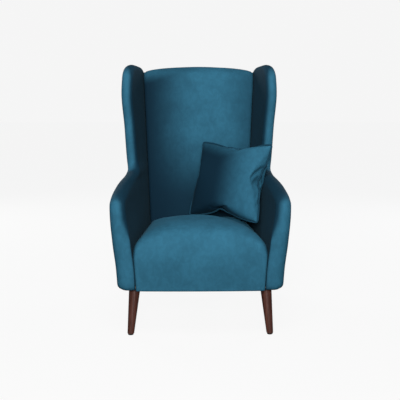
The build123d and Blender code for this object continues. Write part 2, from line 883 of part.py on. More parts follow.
def staple(x, y, turned):
    """Wire staple driven up through the dust cover; turned lays its crown along Y."""
    crown_x = staple_wire if turned else staple_crown / 2
    crown_y = staple_crown / 2 if turned else staple_wire
    low = dust_bottom - staple_wire
    with BuildPart() as wire:
        add(box((x - crown_x, x + crown_x), (y - crown_y, y + crown_y), (low, dust_bottom)))
        for sign in (-1, 1):
            leg_x = x if turned else x + sign * (crown_x - staple_wire)
            leg_y = y + sign * (crown_y - staple_wire) if turned else y
            prong_x = (leg_x - staple_wire / 2, leg_x + staple_wire / 2)
            prong_y = (leg_y - staple_wire / 2, leg_y + staple_wire / 2)
            add(box(prong_x, prong_y, (low, dust_bottom + staple_leg)))
    return wire.part


staple_front_y = dust_front + 6
staple_rear_y = dust_rear - 6
staples = [staple(0, staple_front_y, False), staple(0, staple_rear_y, False)]
for x in (70.0, 140.0, 205.0):
    staples.append(staple(x, staple_front_y, False))
    staples.append(staple(-x, staple_front_y, False))
for x in (70.0, 140.0, 195.0):
    staples.append(staple(x, staple_rear_y, False))
    staples.append(staple(-x, staple_rear_y, False))
for y in (-240.0, -160.0, -80.0, 0.0, 80.0, 160.0, 235.0):
    staples.append(staple(side_rail_x(y), y, True))
    staples.append(staple(-side_rail_x(y), y, True))
save(group(*staples), "dust_cover_staples")

# Wood screws
screw_radius = 2.2
screw_head = 4.2


def screw(start, direction, length):
    """Countersunk wood screw from its head inwards."""
    plane = Plane(start, z_dir=direction)
    with BuildPart() as shank:
        with BuildSketch(plane):
            Circle(screw_head)
        with BuildSketch(plane.offset(screw_head - screw_radius)):
            Circle(screw_radius)
        loft(ruled=True)
        add(rod(plane, screw_head - screw_radius, length, screw_radius))
    return shank.part


block_screws = []
for corner_y, turn in ((front_rail_depth[1], 1), (back_rail_depth[0], -1)):
    corner_x = side_rail_x(corner_y) - rail_thickness / 2
    z = frame_bottom + 12
    near = 0.36 * block_reach
    far = block_reach - near
    block_screws.append(screw((corner_x - far, corner_y + turn * near, z), (0, -turn, 0), near + 20))
    side_x = side_rail_x(corner_y + turn * far) - rail_thickness / 2
    block_screws.append(screw((side_x - near, corner_y + turn * far, z), (1, 0, 0), near + 20))
save(group(*block_screws, *(mirrored(part) for part in block_screws)), "corner_block_screws")

frame_screws = []
for z in (frame_bottom + 25, frame_bottom + 62):
    front_x = front_post_x(z) + post_width / 2
    frame_screws.append(screw((front_x - 1, front_rail_y + 5, z), (-1, 0, 0), 70))
    rear_x = mid_x(rear_y(z) - back_post_setback, z) + post_width / 2
    frame_screws.append(screw((rear_x - 1.5, back_rail_y, z), (-1, 0, 0), 70))
for z in (frame_bottom + rail_height / 2, arm_rail_rear, wing_rail_z):
    start_y = rear_y(z) - back_post_setback + post_depth / 2 - 1
    frame_screws.append(screw((mid_x(start_y, z), start_y, z), (0, -1, 0), 75))
for z in (frame_bottom + rail_height / 2, arm_rail_front):
    frame_screws.append(screw((front_post_x(z), post_y - post_depth / 2 + 1, z), (0, 1, 0), 75))
save(group(*frame_screws, *(mirrored(part) for part in frame_screws)), "frame_screws")

# Scatter cushion, built square in its own plane and leaned into the right-hand corner
cushion_x = inner_x(cushion_y, arm_height) - cushion_from_arm
cushion_centre = (cushion_x, cushion_y, seat_height + cushion_above_seat)
cushion_facing = Vector(*cushion_across).cross(Vector(*cushion_up))
cushion_plane = Plane(cushion_centre, x_dir=cushion_across, z_dir=cushion_facing)
cushion_cover = 2.0
cushion_corner = 14.0


def cushion_outline(inset, spread=0.0):
    """Corners, mid-sides and corner radius of a cushion section, in the cushion's own plane."""
    across = cushion_half_width - inset + spread
    along_up = cushion_half_height - inset + spread
    draw = cushion_draw * (1 - inset / (cushion_half_height - 10))
    corners = [(-across, -along_up), (across, -along_up), (across, along_up), (-across, along_up)]
    middles = [(0, draw - along_up), (across - draw, 0), (0, along_up - draw), (draw - across, 0)]
    return corners, middles, cushion_corner + 0.08 * inset + spread


def cushion_half_body(sign, inset):
    """Half of the cushion on one side of its seam, drawn in by inset."""
    with BuildPart() as body:
        for level in cushion_levels:
            corners, middles, corner = cushion_outline(level.inset + inset)
            height = sign * level.height * (cushion_half_thickness - inset)
            with BuildSketch(cushion_plane.offset(height)) as section:
                with BuildLine():
                    for index in range(4):
                        ThreePointArc(corners[index], middles[index], corners[(index + 1) % 4])
                make_face()
                fillet(section.vertices(), corner)
        loft(ruled=True)
    return body.part


for name, sign in (("cushion_cover_front", 1), ("cushion_cover_back", -1)):
    save(cut(cushion_half_body(sign, 0.0), cushion_half_body(sign, cushion_cover)), name)
with BuildPart() as cushion_pad:
    add(cushion_half_body(1, cushion_cover + 0.3))
    add(cushion_half_body(-1, cushion_cover + 0.3))
save(cushion_pad.part, "cushion_pad")

piping_offset = piping_radius + 0.9
with BuildPart() as cushion_piping:
    corners, middles, corner = cushion_outline(0.0, piping_offset)
    with BuildSketch(cushion_plane, mode=Mode.PRIVATE) as piping_line:
        with BuildLine():
            for index in range(4):
                ThreePointArc(corners[index], middles[index], corners[(index + 1) % 4])
        make_face()
        fillet(piping_line.vertices(), corner)
    piping_path = piping_line.sketch.faces()[0].outer_wire()
    with BuildSketch(Plane(piping_path @ 0, z_dir=piping_path % 0)):
        Circle(piping_radius)
    sweep(path=piping_path)
save(cushion_piping.part, "cushion_piping")
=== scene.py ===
"""Looks of a wing-backed accent chair: velvet pads, a piped cushion, dark tapered legs, a plain studio.

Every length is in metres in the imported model's frame: x across the chair, y from its front to its rear, z up
from the floor. The pads are surfaces of two parameters, worked out as whole arrays and put into meshes at the
origin.
"""

import logging
import math
from dataclasses import dataclass, field
from enum import Enum
from typing import Any, Callable, Dict, List, Mapping, Optional, Sequence, Tuple, Union

import bmesh
import bpy
import numpy as np
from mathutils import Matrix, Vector


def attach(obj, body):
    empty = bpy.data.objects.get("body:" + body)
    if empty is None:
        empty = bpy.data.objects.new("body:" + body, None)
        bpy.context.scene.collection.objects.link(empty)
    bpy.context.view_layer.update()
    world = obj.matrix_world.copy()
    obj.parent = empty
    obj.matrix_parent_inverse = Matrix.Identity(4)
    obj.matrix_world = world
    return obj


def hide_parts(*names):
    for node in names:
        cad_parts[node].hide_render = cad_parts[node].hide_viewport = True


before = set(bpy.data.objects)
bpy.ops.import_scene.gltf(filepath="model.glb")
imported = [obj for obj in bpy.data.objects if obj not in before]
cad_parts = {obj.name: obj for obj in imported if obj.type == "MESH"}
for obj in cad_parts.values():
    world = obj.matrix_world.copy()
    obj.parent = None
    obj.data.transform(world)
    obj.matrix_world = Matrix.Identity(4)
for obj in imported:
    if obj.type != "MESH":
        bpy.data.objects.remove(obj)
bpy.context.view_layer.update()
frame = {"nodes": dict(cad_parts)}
log = logging.getLogger("accent_chair")

Colour = Tuple[float, float, float]
Point = Tuple[float, float, float]
Pair = Tuple[float, float]
# Rule that gives a piece's painted light and shade from its points and normals.
PaintedShadeRule = Callable[[np.ndarray, np.ndarray], np.ndarray]
CHAIR = "chair"
CUSHION = "scatter_cushion"
# Name of the per-point attribute that holds painted light and shade on the velvet.
PAINTED_SHADE_ATTRIBUTE = "nap"
CURVE_STEPS = 400
WELD = 1e-6
TINY = 1e-9


class Side(Enum):
    """Side of the chair as the camera sees it, with the sign of its x."""

    LEFT = -1.0
    RIGHT = 1.0

    @property
    def label(self) -> str:
        """Ending of this side's node names."""
        return self.name.lower()


class Grain(Enum):
    """Way in which a timber's grain runs, as the stretch of its pattern along x, y and z."""

    UPRIGHT = (1.0, 1.0, 0.06)
    ACROSS = (0.06, 1.0, 1.0)
    FORE_AND_AFT = (1.0, 0.06, 1.0)


# Curves and meshes


def monotone(knots: np.ndarray, values: np.ndarray, at: np.ndarray) -> np.ndarray:
    """Cubic through the knots that never overshoots: its slopes are harmonic means.

    Args:
        knots: Rising parameters, one per value.
        values: One row of numbers per knot.
        at: Parameters at which the curve is read.

    Returns:
        One row of numbers per parameter.
    """
    values = values.reshape(len(knots), -1)
    step = np.diff(knots)[:, None]
    slope = np.diff(values, axis=0) / step
    before, after = slope[:-1], slope[1:]
    heavy = 2 * step[1:] + step[:-1]
    light = step[1:] + 2 * step[:-1]
    same = before * after > 0
    safe_before = np.where(same, before, 1.0)
    safe_after = np.where(same, after, 1.0)
    tangent = np.concatenate([slope[:1], np.zeros_like(before), slope[-1:]])
    tangent[1:-1] = np.where(same, (heavy + light) / (heavy / safe_before + light / safe_after), 0.0)
    low = np.clip(np.searchsorted(knots, at, side="right") - 1, 0, len(step) - 1)
    t = np.clip((at[:, None] - knots[low][:, None]) / step[low], 0.0, 1.0)
    start, end = values[low], values[low + 1]
    leave, arrive = tangent[low] * step[low], tangent[low + 1] * step[low]
    square, cube = t * t, t * t * t
    return (
        start * (2 * cube - 3 * square + 1)
        + leave * (cube - 2 * square + t)
        + end * (3 * square - 2 * cube)
        + arrive * (cube - square)
    )


def unit(rows: np.ndarray) -> np.ndarray:
    """Rows of numbers brought to length 1.

    Args:
        rows: One vector per row.

    Returns:
        One unit vector per row.
    """
    return rows / np.linalg.norm(rows, axis=1, keepdims=True)


def neighbours(loop: np.ndarray) -> Tuple[np.ndarray, np.ndarray]:
    """Points before and after each point of a closed loop.

    Args:
        loop: One point per row.

    Returns:
        The points before and the points after.
    """
    return np.roll(loop, 1, axis=0), np.roll(loop, -1, axis=0)


def chord_knots(points: np.ndarray) -> np.ndarray:
    """Distance run along a row of points, from 0 at the first to 1 at the last.

    Args:
        points: One point per row.

    Returns:
        One number per point.
    """
    run = np.concatenate([[0.0], np.cumsum(np.linalg.norm(np.diff(points, axis=0), axis=1))])
    return run / run[-1]


def even_curve(points: np.ndarray, count: int, ease: int) -> np.ndarray:
    """Smooth curve through points, eased by a moving mean and read at even steps of its length.

    Args:
        points: The points that the curve passes through.
        count: How many points are returned.
        ease: Half width of the moving mean, in CURVE_STEPS of the length.

    Returns:
        The points of the curve, one per row.
    """
    dense = monotone(chord_knots(points), points, np.linspace(0.0, 1.0, CURVE_STEPS + 1))
    weight = np.hanning(2 * ease + 3)[1:-1]
    weight = weight / weight.sum()
    start = 2 * dense[:1] - dense[ease:0:-1]
    end = 2 * dense[-1:] - dense[-2 : -ease - 2 : -1]
    padded = np.concatenate([start, dense, end])
    eased = np.stack([np.convolve(column, weight, "valid") for column in padded.T], axis=1)
    knots = chord_knots(eased)
    even = np.linspace(0.0, 1.0, count)
    return np.stack([np.interp(even, knots, column) for column in eased.T], axis=1)


def grid_faces(rows: int, columns: int, wrap: bool) -> np.ndarray:
    """Quads of a grid of points numbered row by row.

    Args:
        rows: Number of rows.
        columns: Number of points in a row.
        wrap: Whether the last column joins the first.

    Returns:
        Four point numbers per quad.
    """
    row = np.arange(rows - 1)[:, None] * columns
    column = np.arange(columns if wrap else columns - 1)[None, :]
    after = (column + 1) % columns
    quads = np.stack([row + column, row + after, row + columns + after, row + columns + column], axis=-1)
    return quads.reshape(-1, 4)


def fan_faces(ring: np.ndarray, centre: int) -> np.ndarray:
    """Triangles from a closed ring of points to one point in its middle.

    Args:
        ring: Point numbers round the ring.
        centre: Number of the point in the middle.

    Returns:
        Three point numbers per triangle.
    """
    return np.stack([ring, np.roll(ring, -1), np.full_like(ring, centre)], axis=-1)


def strip_faces(ring: np.ndarray) -> np.ndarray:
    """Quads across a closed ring, each joining a pair of points to the pair opposite.

    Args:
        ring: Point numbers round the ring, from one rear end by the tip to the other rear end.

    Returns:
        Four point numbers per quad.
    """
    half = len(ring) // 2
    one, other = ring[:half], ring[::-1][:half]
    return np.stack([one[:-1], one[1:], other[1:], other[:-1]], axis=-1)


def shown(name: str, data: bpy.types.ID) -> bpy.types.Object:
    """Object linked into the scene.

    Args:
        name: Name of the object.
        data: Its mesh, light or camera.

    Returns:
        The new object.
    """
    made = bpy.data.objects.new(name, data)
    bpy.context.scene.collection.objects.link(made)
    return made


def make_piece(name: str, points: np.ndarray, faces: Sequence[np.ndarray]) -> bpy.types.Object:
    """Closed smooth mesh at the origin, its faces turned outwards.

    Args:
        name: Name of the piece.
        points: One point per row.
        faces: Arrays of point numbers, each with three or four to a face.

    Returns:
        The new object, linked into the scene.
    """
    mesh = bpy.data.meshes.new(name)
    mesh.from_pydata(points.tolist(), [], [face for group in faces for face in group.tolist()])
    shell = bmesh.new()
    shell.from_mesh(mesh)
    bmesh.ops.remove_doubles(shell, verts=shell.verts, dist=WELD)
    bmesh.ops.recalc_face_normals(shell, faces=shell.faces)
    shell.to_mesh(mesh)
    shell.free()
    mesh.polygons.foreach_set("use_smooth", np.ones(len(mesh.polygons), bool))
    return shown(name, mesh)


def capped(name: str, rings: np.ndarray) -> bpy.types.Object:
    """Piece of closed rings joined in a row, each end closed by a fan to its middle.

    Args:
        name: Name of the piece.
        rings: Array of rings, ring points and x, y, z.

    Returns:
        The new object, linked into the scene.
    """
    rows, columns = rings.shape[:2]
    count = rows * columns
    points = np.concatenate([rings.reshape(-1, 3), [rings[0].mean(axis=0)], [rings[-1].mean(axis=0)]])
    first = np.arange(columns)
    ends = [fan_faces(first, count), fan_faces(first + count - columns, count + 1)]
    return make_piece(name, points, [grid_faces(rows, columns, True), *ends])


def subdivide(piece: bpy.types.Object, levels: int) -> None:
    """Rounds a piece with a subdivision surface that is the same in view and in render.

    Args:
        piece: The piece to round.
        levels: Number of subdivisions.
    """
    modifier = piece.modifiers.new("rounding", "SUBSURF")
    modifier.levels = levels
    modifier.render_levels = levels


# Shader arithmetic


class Field:
    """A number that varies over a surface: one output socket, with the arithmetic of numbers."""

    def __init__(self, shader: "Shader", socket: bpy.types.NodeSocket) -> None:
        """Keeps the shader that owns the socket, and the socket."""
        self.shader = shader
        self.socket = socket

    def _math(self, operation: str, one: "Value", other: "Value") -> "Field":
        """Math node of two values.

        Args:
            operation: The node's operation.
            one: First value.
            other: Second value.

        Returns:
            The node's result.
        """
        return self.shader.node("ShaderNodeMath", {"operation": operation}, {0: one, 1: other})

    def __add__(self, other: "Value") -> "Field":
        """Sum."""
        return self._math("ADD", self, other)

    __radd__ = __add__

    def __sub__(self, other: "Value") -> "Field":
        """Difference."""
        return self._math("SUBTRACT", self, other)

    def __rsub__(self, other: "Value") -> "Field":
        """Difference with this field second."""
        return self._math("SUBTRACT", other, self)

    def __mul__(self, other: "Value") -> "Field":
        """Product."""
        return self._math("MULTIPLY", self, other)

    __rmul__ = __mul__

    def __pow__(self, other: "Value") -> "Field":
        """Power."""
        return self._math("POWER", self, other)

    def spread(self, low: float, high: float) -> "Field":
        """Smooth step: 0 below the low value, 1 above the high one.

        Args:
            low: Where the step starts.
            high: Where the step ends.

        Returns:
            The stepped field.
        """
        return self.shader.node(
            "ShaderNodeMapRange",
            {"interpolation_type": "SMOOTHSTEP"},
            {"Value": self, "From Min": low, "From Max": high},
        )


Value = Union[Field, float, Sequence[float]]


class Shader:
    """A material's node tree, with its Principled surface and its Object coordinates."""

    def __init__(self, name: str) -> None:
        """Makes the material and its surface.

        Args:
            name: Name of the material.
        """
        self.material = bpy.data.materials.new(name)
        self.material.use_nodes = True
        self.tree = self.material.node_tree
        self.surface = self.tree.nodes["Principled BSDF"]
        self.place = self.node("ShaderNodeTexCoord", {}, {}, "Object")

    def node(
        self,
        kind: str,
        settings: Mapping[str, Any],
        inputs: Mapping[Union[str, int], Value],
        output: Union[str, int] = 0,
    ) -> Field:
        """Any node: its settings are set first, and then the values or links of its sockets.

        Args:
            kind: Type of the node.
            settings: Properties of the node.
            inputs: Values or fields by socket name or number.
            output: The output that is returned.

        Returns:
            The output as a field.
        """
        made = self.tree.nodes.new(kind)
        for key, value in settings.items():
            setattr(made, key, value)
        for key, value in inputs.items():
            self._feed(made.inputs[key], value)
        return Field(self, made.outputs[output])

    def _feed(self, socket: bpy.types.NodeSocket, value: Value) -> None:
        """Links a field to a socket, or sets the socket's own value.

        Args:
            socket: The socket that is fed.
            value: A field, a number or a colour.
        """
        if isinstance(value, Field):
            self.tree.links.new(value.socket, socket)
        elif isinstance(value, (int, float)):
            socket.default_value = value
        else:
            room = len(socket.default_value)
            socket.default_value = (*value, 1.0)[:room]

    def stretched(self, scale: Sequence[float]) -> Field:
        """Object coordinates scaled along x, y and z.

        Args:
            scale: The three scales.

        Returns:
            The scaled coordinates.
        """
        return self.node("ShaderNodeMapping", {}, {"Vector": self.place, "Scale": scale})

    def noise(self, vector: Field, scale: float, detail: float, distortion: float = 0.0) -> Field:
        """Noise of one value.

        Args:
            vector: Coordinates of the noise.
            scale: Features per metre.
            detail: Octaves.
            distortion: How far the noise bends itself.

        Returns:
            The noise, about 0 to 1.
        """
        inputs = {"Vector": vector, "Scale": scale, "Detail": detail, "Distortion": distortion}
        return self.node("ShaderNodeTexNoise", {}, inputs, "Fac")

    def mix(self, share: Value, one: Value, other: Value) -> Field:
        """Colour between two colours.

        Args:
            share: 0 for the first colour, 1 for the second.
            one: First colour.
            other: Second colour.

        Returns:
            The mixed colour.
        """
        return self.node("ShaderNodeMix", {"data_type": "RGBA"}, {0: share, 6: one, 7: other}, 2)

    def bump(self, height: Field, strength: float, distance: float, under: Optional[Field] = None) -> Field:
        """Normal of a surface that is raised by a height.

        Args:
            height: The height, about 0 to 1.
            strength: Share of the effect.
            distance: Height of a full step, in metres.
            under: Normal of a coarser relief underneath.

        Returns:
            The normal.
        """
        inputs: Dict[Union[str, int], Value] = {"Height": height, "Strength": strength, "Distance": distance}
        if under is not None:
            inputs["Normal"] = under
        return self.node("ShaderNodeBump", {}, inputs)

    def finish(self, **inputs: Value) -> bpy.types.Material:
        """Feeds the surface, each socket named with underscores for spaces.

        Args:
            inputs: Values or fields by socket name.

        Returns:
            The finished material.
        """
        for key, value in inputs.items():
            self._feed(self.surface.inputs[key.replace("_", " ")], value)
        return self.material


# Finishes


@dataclass(frozen=True)
class Velvet:
    """Short-pile velvet: painted light and shade set per panel, times brushing lighter and darker in soft
    patches, over a fine pile.
    """

    name: str
    deep: Colour
    bright: Colour
    patch_scale: float = 9.0
    streak_scale: float = 55.0
    pile_scale: float = 1100.0
    ripple_scale: float = 16.0
    even_share: float = 0.60
    patch_share: float = 0.16
    streak_share: float = 0.13
    pile_share: float = 0.18
    sheen: float = 0.02

    def material(self) -> bpy.types.Material:
        """The velvet's material.

        Returns:
            A material whose colour is painted light and shade times the brushed patches, and whose normal
            follows the pile.
        """
        shader = Shader(self.name)
        patches = shader.noise(shader.place, self.patch_scale, 3.0, 0.9).spread(0.3, 0.72)
        streaks = shader.noise(shader.stretched((1.0, 1.0, 0.7)), self.streak_scale, 4.0, 0.8)
        pile = shader.noise(shader.place, self.pile_scale, 2.0)
        # Painted light and shade, read from each piece's attribute.
        painted_shade = shader.node("ShaderNodeAttribute", {"attribute_name": PAINTED_SHADE_ATTRIBUTE}, {}, "Fac")
        strokes = streaks.spread(0.34, 0.68)
        brushed = self.even_share + self.patch_share * patches + self.streak_share * strokes
        # Painted light and shade times the brushed patches and the pile, from the deep colour to the bright
        # one.
        nap = painted_shade * (brushed + self.pile_share * pile)
        colour = shader.mix(nap, self.deep, self.bright)
        ripple = shader.bump(shader.noise(shader.place, self.ripple_scale, 2.0), 0.25, 0.004)
        normal = shader.bump(pile, 0.35, 0.0006, ripple)
        return shader.finish(
            Base_Color=colour,
            Roughness=0.72 + 0.16 * pile,
            Specular_IOR_Level=0.06,
            Sheen_Weight=self.sheen,
            Sheen_Roughness=0.38,
            Sheen_Tint=(0.5, 0.85, 1.0),
            Normal=normal,
        )


@dataclass(frozen=True)
class Timber:
    """Wood with growth lines along its grain, bare or under a satin lacquer."""

    name: str
    dark: Colour
    light: Colour
    grain: Grain
    roughness: float
    coat: float = 0.0

    def material(self) -> bpy.types.Material:
        """The wood's material.

        Returns:
            A material with long figure, fine pores and a little unevenness in its gloss.
        """
        shader = Shader(f"{self.name}_{self.grain.name.lower()}")
        along = shader.stretched(self.grain.value)
        figure = shader.noise(along, 85.0, 4.0, 1.6).spread(0.28, 0.72)
        pores = shader.noise(along, 620.0, 3.0)
        wear = shader.noise(shader.place, 22.0, 2.0)
        colour = shader.mix(0.7 * figure + 0.3 * pores, self.dark, self.light)
        colour = shader.mix(0.22 * wear, colour, self.dark)
        return shader.finish(
            Base_Color=colour,
            Roughness=self.roughness + 0.14 * pores - 0.06 * wear,
            Coat_Weight=self.coat,
            Coat_Roughness=0.28,
            Normal=shader.bump(pores, 0.22, 0.0004),
        )


@dataclass(frozen=True)
class Woven:
    """Cloth with crossing threads: felt, webbing and the dust cover, by the spacing of their threads."""

    name: str
    deep: Colour
    bright: Colour
    threads: float
    roughness: float = 0.9

    def material(self) -> bpy.types.Material:
        """The cloth's material.

        Returns:
            A material with a crossed thread relief and mottled fibres.
        """
        shader = Shader(self.name)
        inputs = {"Vector": shader.place, "Scale": self.threads}
        across, along = (
            shader.node("ShaderNodeTexWave", {"wave_type": "BANDS", "bands_direction": way}, inputs, "Fac")
            for way in "XY"
        )
        fibres = shader.noise(shader.place, 900.0, 3.0)
        threads = across * along
        colour = shader.mix(0.5 * threads + 0.5 * fibres, self.deep, self.bright)
        return shader.finish(
            Base_Color=colour,
            Roughness=self.roughness - 0.08 * fibres,
            Normal=shader.bump(threads + 0.6 * fibres, 0.5, 0.0005),
        )


@dataclass(frozen=True)
class Metal:
    """Plated or drawn steel with fine scratches."""

    name: str
    tone: Colour
    roughness: float

    def material(self) -> bpy.types.Material:
        """The metal's material.

        Returns:
            A material with fine scratches in its gloss.
        """
        shader = Shader(self.name)
        scratches = shader.noise(shader.stretched((1.0, 0.1, 1.0)), 900.0, 3.0)
        dulled = tuple(0.7 * channel for channel in self.tone)
        return shader.finish(
            Base_Color=shader.mix(scratches, dulled, self.tone),
            Metallic=1.0,
            Roughness=self.roughness + 0.2 * scratches,
            Normal=shader.bump(scratches, 0.1, 0.0002),
        )


@dataclass(frozen=True)
class Moulded:
    """Pressed board or moulded nylon with a fine even tooth."""

    name: str
    deep: Colour
    bright: Colour
    tooth_scale: float
    roughness: float

    def material(self) -> bpy.types.Material:
        """The material of the board or moulding.

        Returns:
            A material with a fine tooth and faint clouds of colour.
        """
        shader = Shader(self.name)
        tooth = shader.noise(shader.place, self.tooth_scale, 3.0)
        clouds = shader.noise(shader.place, 18.0, 2.0)
        return shader.finish(
            Base_Color=shader.mix(0.5 * tooth + 0.5 * clouds, self.deep, self.bright),
            Roughness=self.roughness + 0.12 * tooth,
            Normal=shader.bump(tooth, 0.3, 0.0003),
        )


# The velvet's deep colour shows where the painted shade is full, its bright colour where the painted light is.
VELVET = Velvet("velvet", (0.0040, 0.0190, 0.0360), (0.0320, 0.1500, 0.2400))
CUSHION_VELVET = Velvet("cushion_velvet", (0.0040, 0.0190, 0.0360), (0.0300, 0.1400, 0.2250))
LEG_WOOD = Timber("leg_wood", (0.045, 0.015, 0.011), (0.150, 0.056, 0.040), Grain.UPRIGHT, 0.34, 0.35)
FRAME_DARK, FRAME_LIGHT, FRAME_GLOSS = (0.36, 0.22, 0.11), (0.62, 0.44, 0.26), 0.62
SPRING_STEEL = Metal("spring_steel", (0.42, 0.42, 0.43), 0.34)
ZINC_STEEL = Metal("zinc_steel", (0.68, 0.68, 0.70), 0.30)
FELT = Woven("felt", (0.07, 0.068, 0.065), (0.16, 0.155, 0.15), 210.0)
WEBBING = Woven("webbing", (0.010, 0.010, 0.011), (0.035, 0.034, 0.034), 130.0, 0.8)
DUST_CLOTH = Woven("dust_cloth", (0.006, 0.006, 0.007), (0.022, 0.022, 0.024), 260.0)
BACKING_BOARD = Moulded("backing_board", (0.20, 0.12, 0.06), (0.32, 0.21, 0.11), 500.0, 0.7)
NYLON = Moulded("nylon", (0.008, 0.008, 0.008), (0.018, 0.018, 0.018), 700.0, 0.42)


# Shape of the chair that several pads share


@dataclass(frozen=True)
class Shell:
    """Planes that the pads are built between: raked rear, joint of side and back, the side's faces."""

    base: float = 0.185
    arm_rise: float = 0.360
    slope_rise: float = 0.069
    wing_rise: float = 0.452
    wing_front: float = 0.012
    arm_reach: float = 0.380
    base_half: float = 0.320
    arm_half: float = 0.346
    foot_half: float = 0.308
    wing_half: float = 0.332
    arm_thick: float = 0.062
    base_thick: float = 0.072
    wing_thick: float = 0.048
    nose_share: float = 0.42
    joint_lap: float = 0.020
    least_run: float = 0.025
    rear_line: Pair = (0.327, 0.377)
    joint_line: Pair = (0.128, 0.240)
    outer_line: Pair = (0.264, 0.300)
    inner_line: Pair = (0.216, 0.257)

    @property
    def arm_top(self) -> float:
        """Height at which the front of the arm turns over."""
        return self.base + self.arm_rise

    @property
    def foot(self) -> float:
        """Height at which the wing leaves the arm."""
        return self.arm_top + self.slope_rise

    @property
    def top(self) -> float:
        """Height of the wings."""
        return self.foot + self.wing_rise

    @property
    def arm_front(self) -> float:
        """Front of the arms."""
        return self.wing_front - self.arm_reach

    def between(self, z: np.ndarray, low: float, high: float) -> np.ndarray:
        """Straight line from a value at the base to one at the top of the wings.

        Args:
            z: Heights.
            low: Value at the base.
            high: Value at the top.

        Returns:
            The values at those heights.
        """
        return low + (z - self.base) / (self.top - self.base) * (high - low)

    def rear(self, z: np.ndarray) -> np.ndarray:
        """Raked plane of the chair's rear."""
        return self.between(z, *self.rear_line)

    def joint(self, z: np.ndarray) -> np.ndarray:
        """Line down which the back meets the sides."""
        return self.between(z, *self.joint_line)

    def outer_rear(self, z: np.ndarray) -> np.ndarray:
        """Half width of the chair at its rear."""
        return self.between(z, *self.outer_line)

    def inner_rear(self, z: np.ndarray) -> np.ndarray:
        """Half width between the sides at the back."""
        return self.between(z, *self.inner_line)

    def stations(self) -> np.ndarray:
        """Sections of a side from the base up.

        Returns:
            Rows of height, front, half width and thickness.
        """
        arm, wing = self.arm_front, self.wing_front
        low, rise = self.base, self.arm_rise
        turn, slope = self.arm_top, self.slope_rise
        foot, climb = self.foot, self.wing_rise
        wide, thick = self.arm_half, self.arm_thick
        high, thin = self.wing_half, self.wing_thick
        return np.array(
            [
                (low, arm + 0.005, self.base_half, self.base_thick - 0.002),
                (low + 0.22 * rise, arm + 0.002, self.base_half + 0.005, self.base_thick),
                (low + 0.5 * rise, arm + 0.001, wide - 0.009, self.base_thick),
                (low + 0.8 * rise, arm, wide - 0.001, thick + 0.001),
                (turn - 0.020, arm + 0.010, wide, thick - 0.002),
                (turn + 0.005, arm + 0.044, wide - 0.001, thick - 0.002),
                (turn + 0.42 * slope, arm + 0.133, wide - 0.007, thick - 0.002),
                (turn + 0.74 * slope, arm + 0.258, self.foot_half + 0.012, thick - 0.005),
                (foot, wing - 0.032, self.foot_half, thin + 0.004),
                (foot + 0.1 * climb, wing, self.foot_half + 0.005, thin),
                (foot + 0.41 * climb, wing + 0.002, high - 0.010, thin - 0.001),
                (foot + 0.72 * climb, wing - 0.008, high, thin),
                (self.top - 0.056, wing, high - 0.003, thin),
                (self.top, wing + 0.030, high - 0.007, thin),
            ]
        )

    def faces(self, y: np.ndarray, z: np.ndarray) -> Tuple[np.ndarray, np.ndarray]:
        """Outer and inner face of a side: straight lines from its front rounding to its rear.

        Args:
            y: Places along the chair.
            z: Heights, of the same shape.

        Returns:
            The outer and the inner x at each place.
        """
        rows = self.stations()
        read = monotone(rows[:, 0], rows[:, 1:], z.ravel()).reshape(*z.shape, 3)
        front, half, thick = read[..., 0], read[..., 1], read[..., 2]
        start = front + self.nose_share * thick
        joint = np.maximum(self.joint(z) + self.joint_lap, start + self.least_run)
        outer_share = np.clip((y - start) / (self.rear(z) - start), 0.0, 1.0)
        inner_share = np.clip((y - start) / (joint - start), 0.0, 1.0)
        outer = half + outer_share * (self.outer_rear(z) - half)
        inner = half - thick + inner_share * (self.inner_rear(z) - half + thick)
        return outer, inner


SHELL = Shell()


def soft_step(value: np.ndarray, low: float, high: float) -> np.ndarray:
    """Smooth step from 0 at the low value to 1 at the high one.

    Args:
        value: Values.
        low: Where the step starts.
        high: Where the step ends.

    Returns:
        The stepped values.
    """
    share = np.clip((value - low) / (high - low), 0.0, 1.0)
    return share * share * (3.0 - 2.0 * share)


def paint_shade(piece: bpy.types.Object, painted_shade: PaintedShadeRule) -> None:
    """Writes a piece's painted light and shade: 1 where it is painted light, 0 where it is painted shade.

    Args:
        piece: A velvet piece.
        painted_shade: Gives the painted light and shade from the points and the normals.
    """
    mesh = piece.data
    points = np.empty(len(mesh.vertices) * 3)
    normals = np.empty_like(points)
    mesh.vertices.foreach_get("co", points)
    mesh.vertex_normals.foreach_get("vector", normals)
    nap = np.clip(painted_shade(points.reshape(-1, 3), normals.reshape(-1, 3)), 0.0, 1.0)
    mesh.attributes.new(PAINTED_SHADE_ATTRIBUTE, "FLOAT", "POINT").data.foreach_set("value", nap)


def settle(piece: bpy.types.Object, body: str, finish: bpy.types.Material, slot: str, *nodes: str) -> None:
    """Gives a piece its finish, its body and the nodes that it stands for.

    Args:
        piece: The piece.
        body: Body that it rides on.
        finish: Its material.
        slot: The record's material slot; not used.
        nodes: Soft nodes that it replaces.
    """
    piece.data.materials.clear()
    piece.data.materials.append(finish)
    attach(piece, body)
    if nodes:
        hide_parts(*nodes)
    log.info("%s: %d points, for %s", piece.name, len(piece.data.vertices), ", ".join(nodes) or "itself")


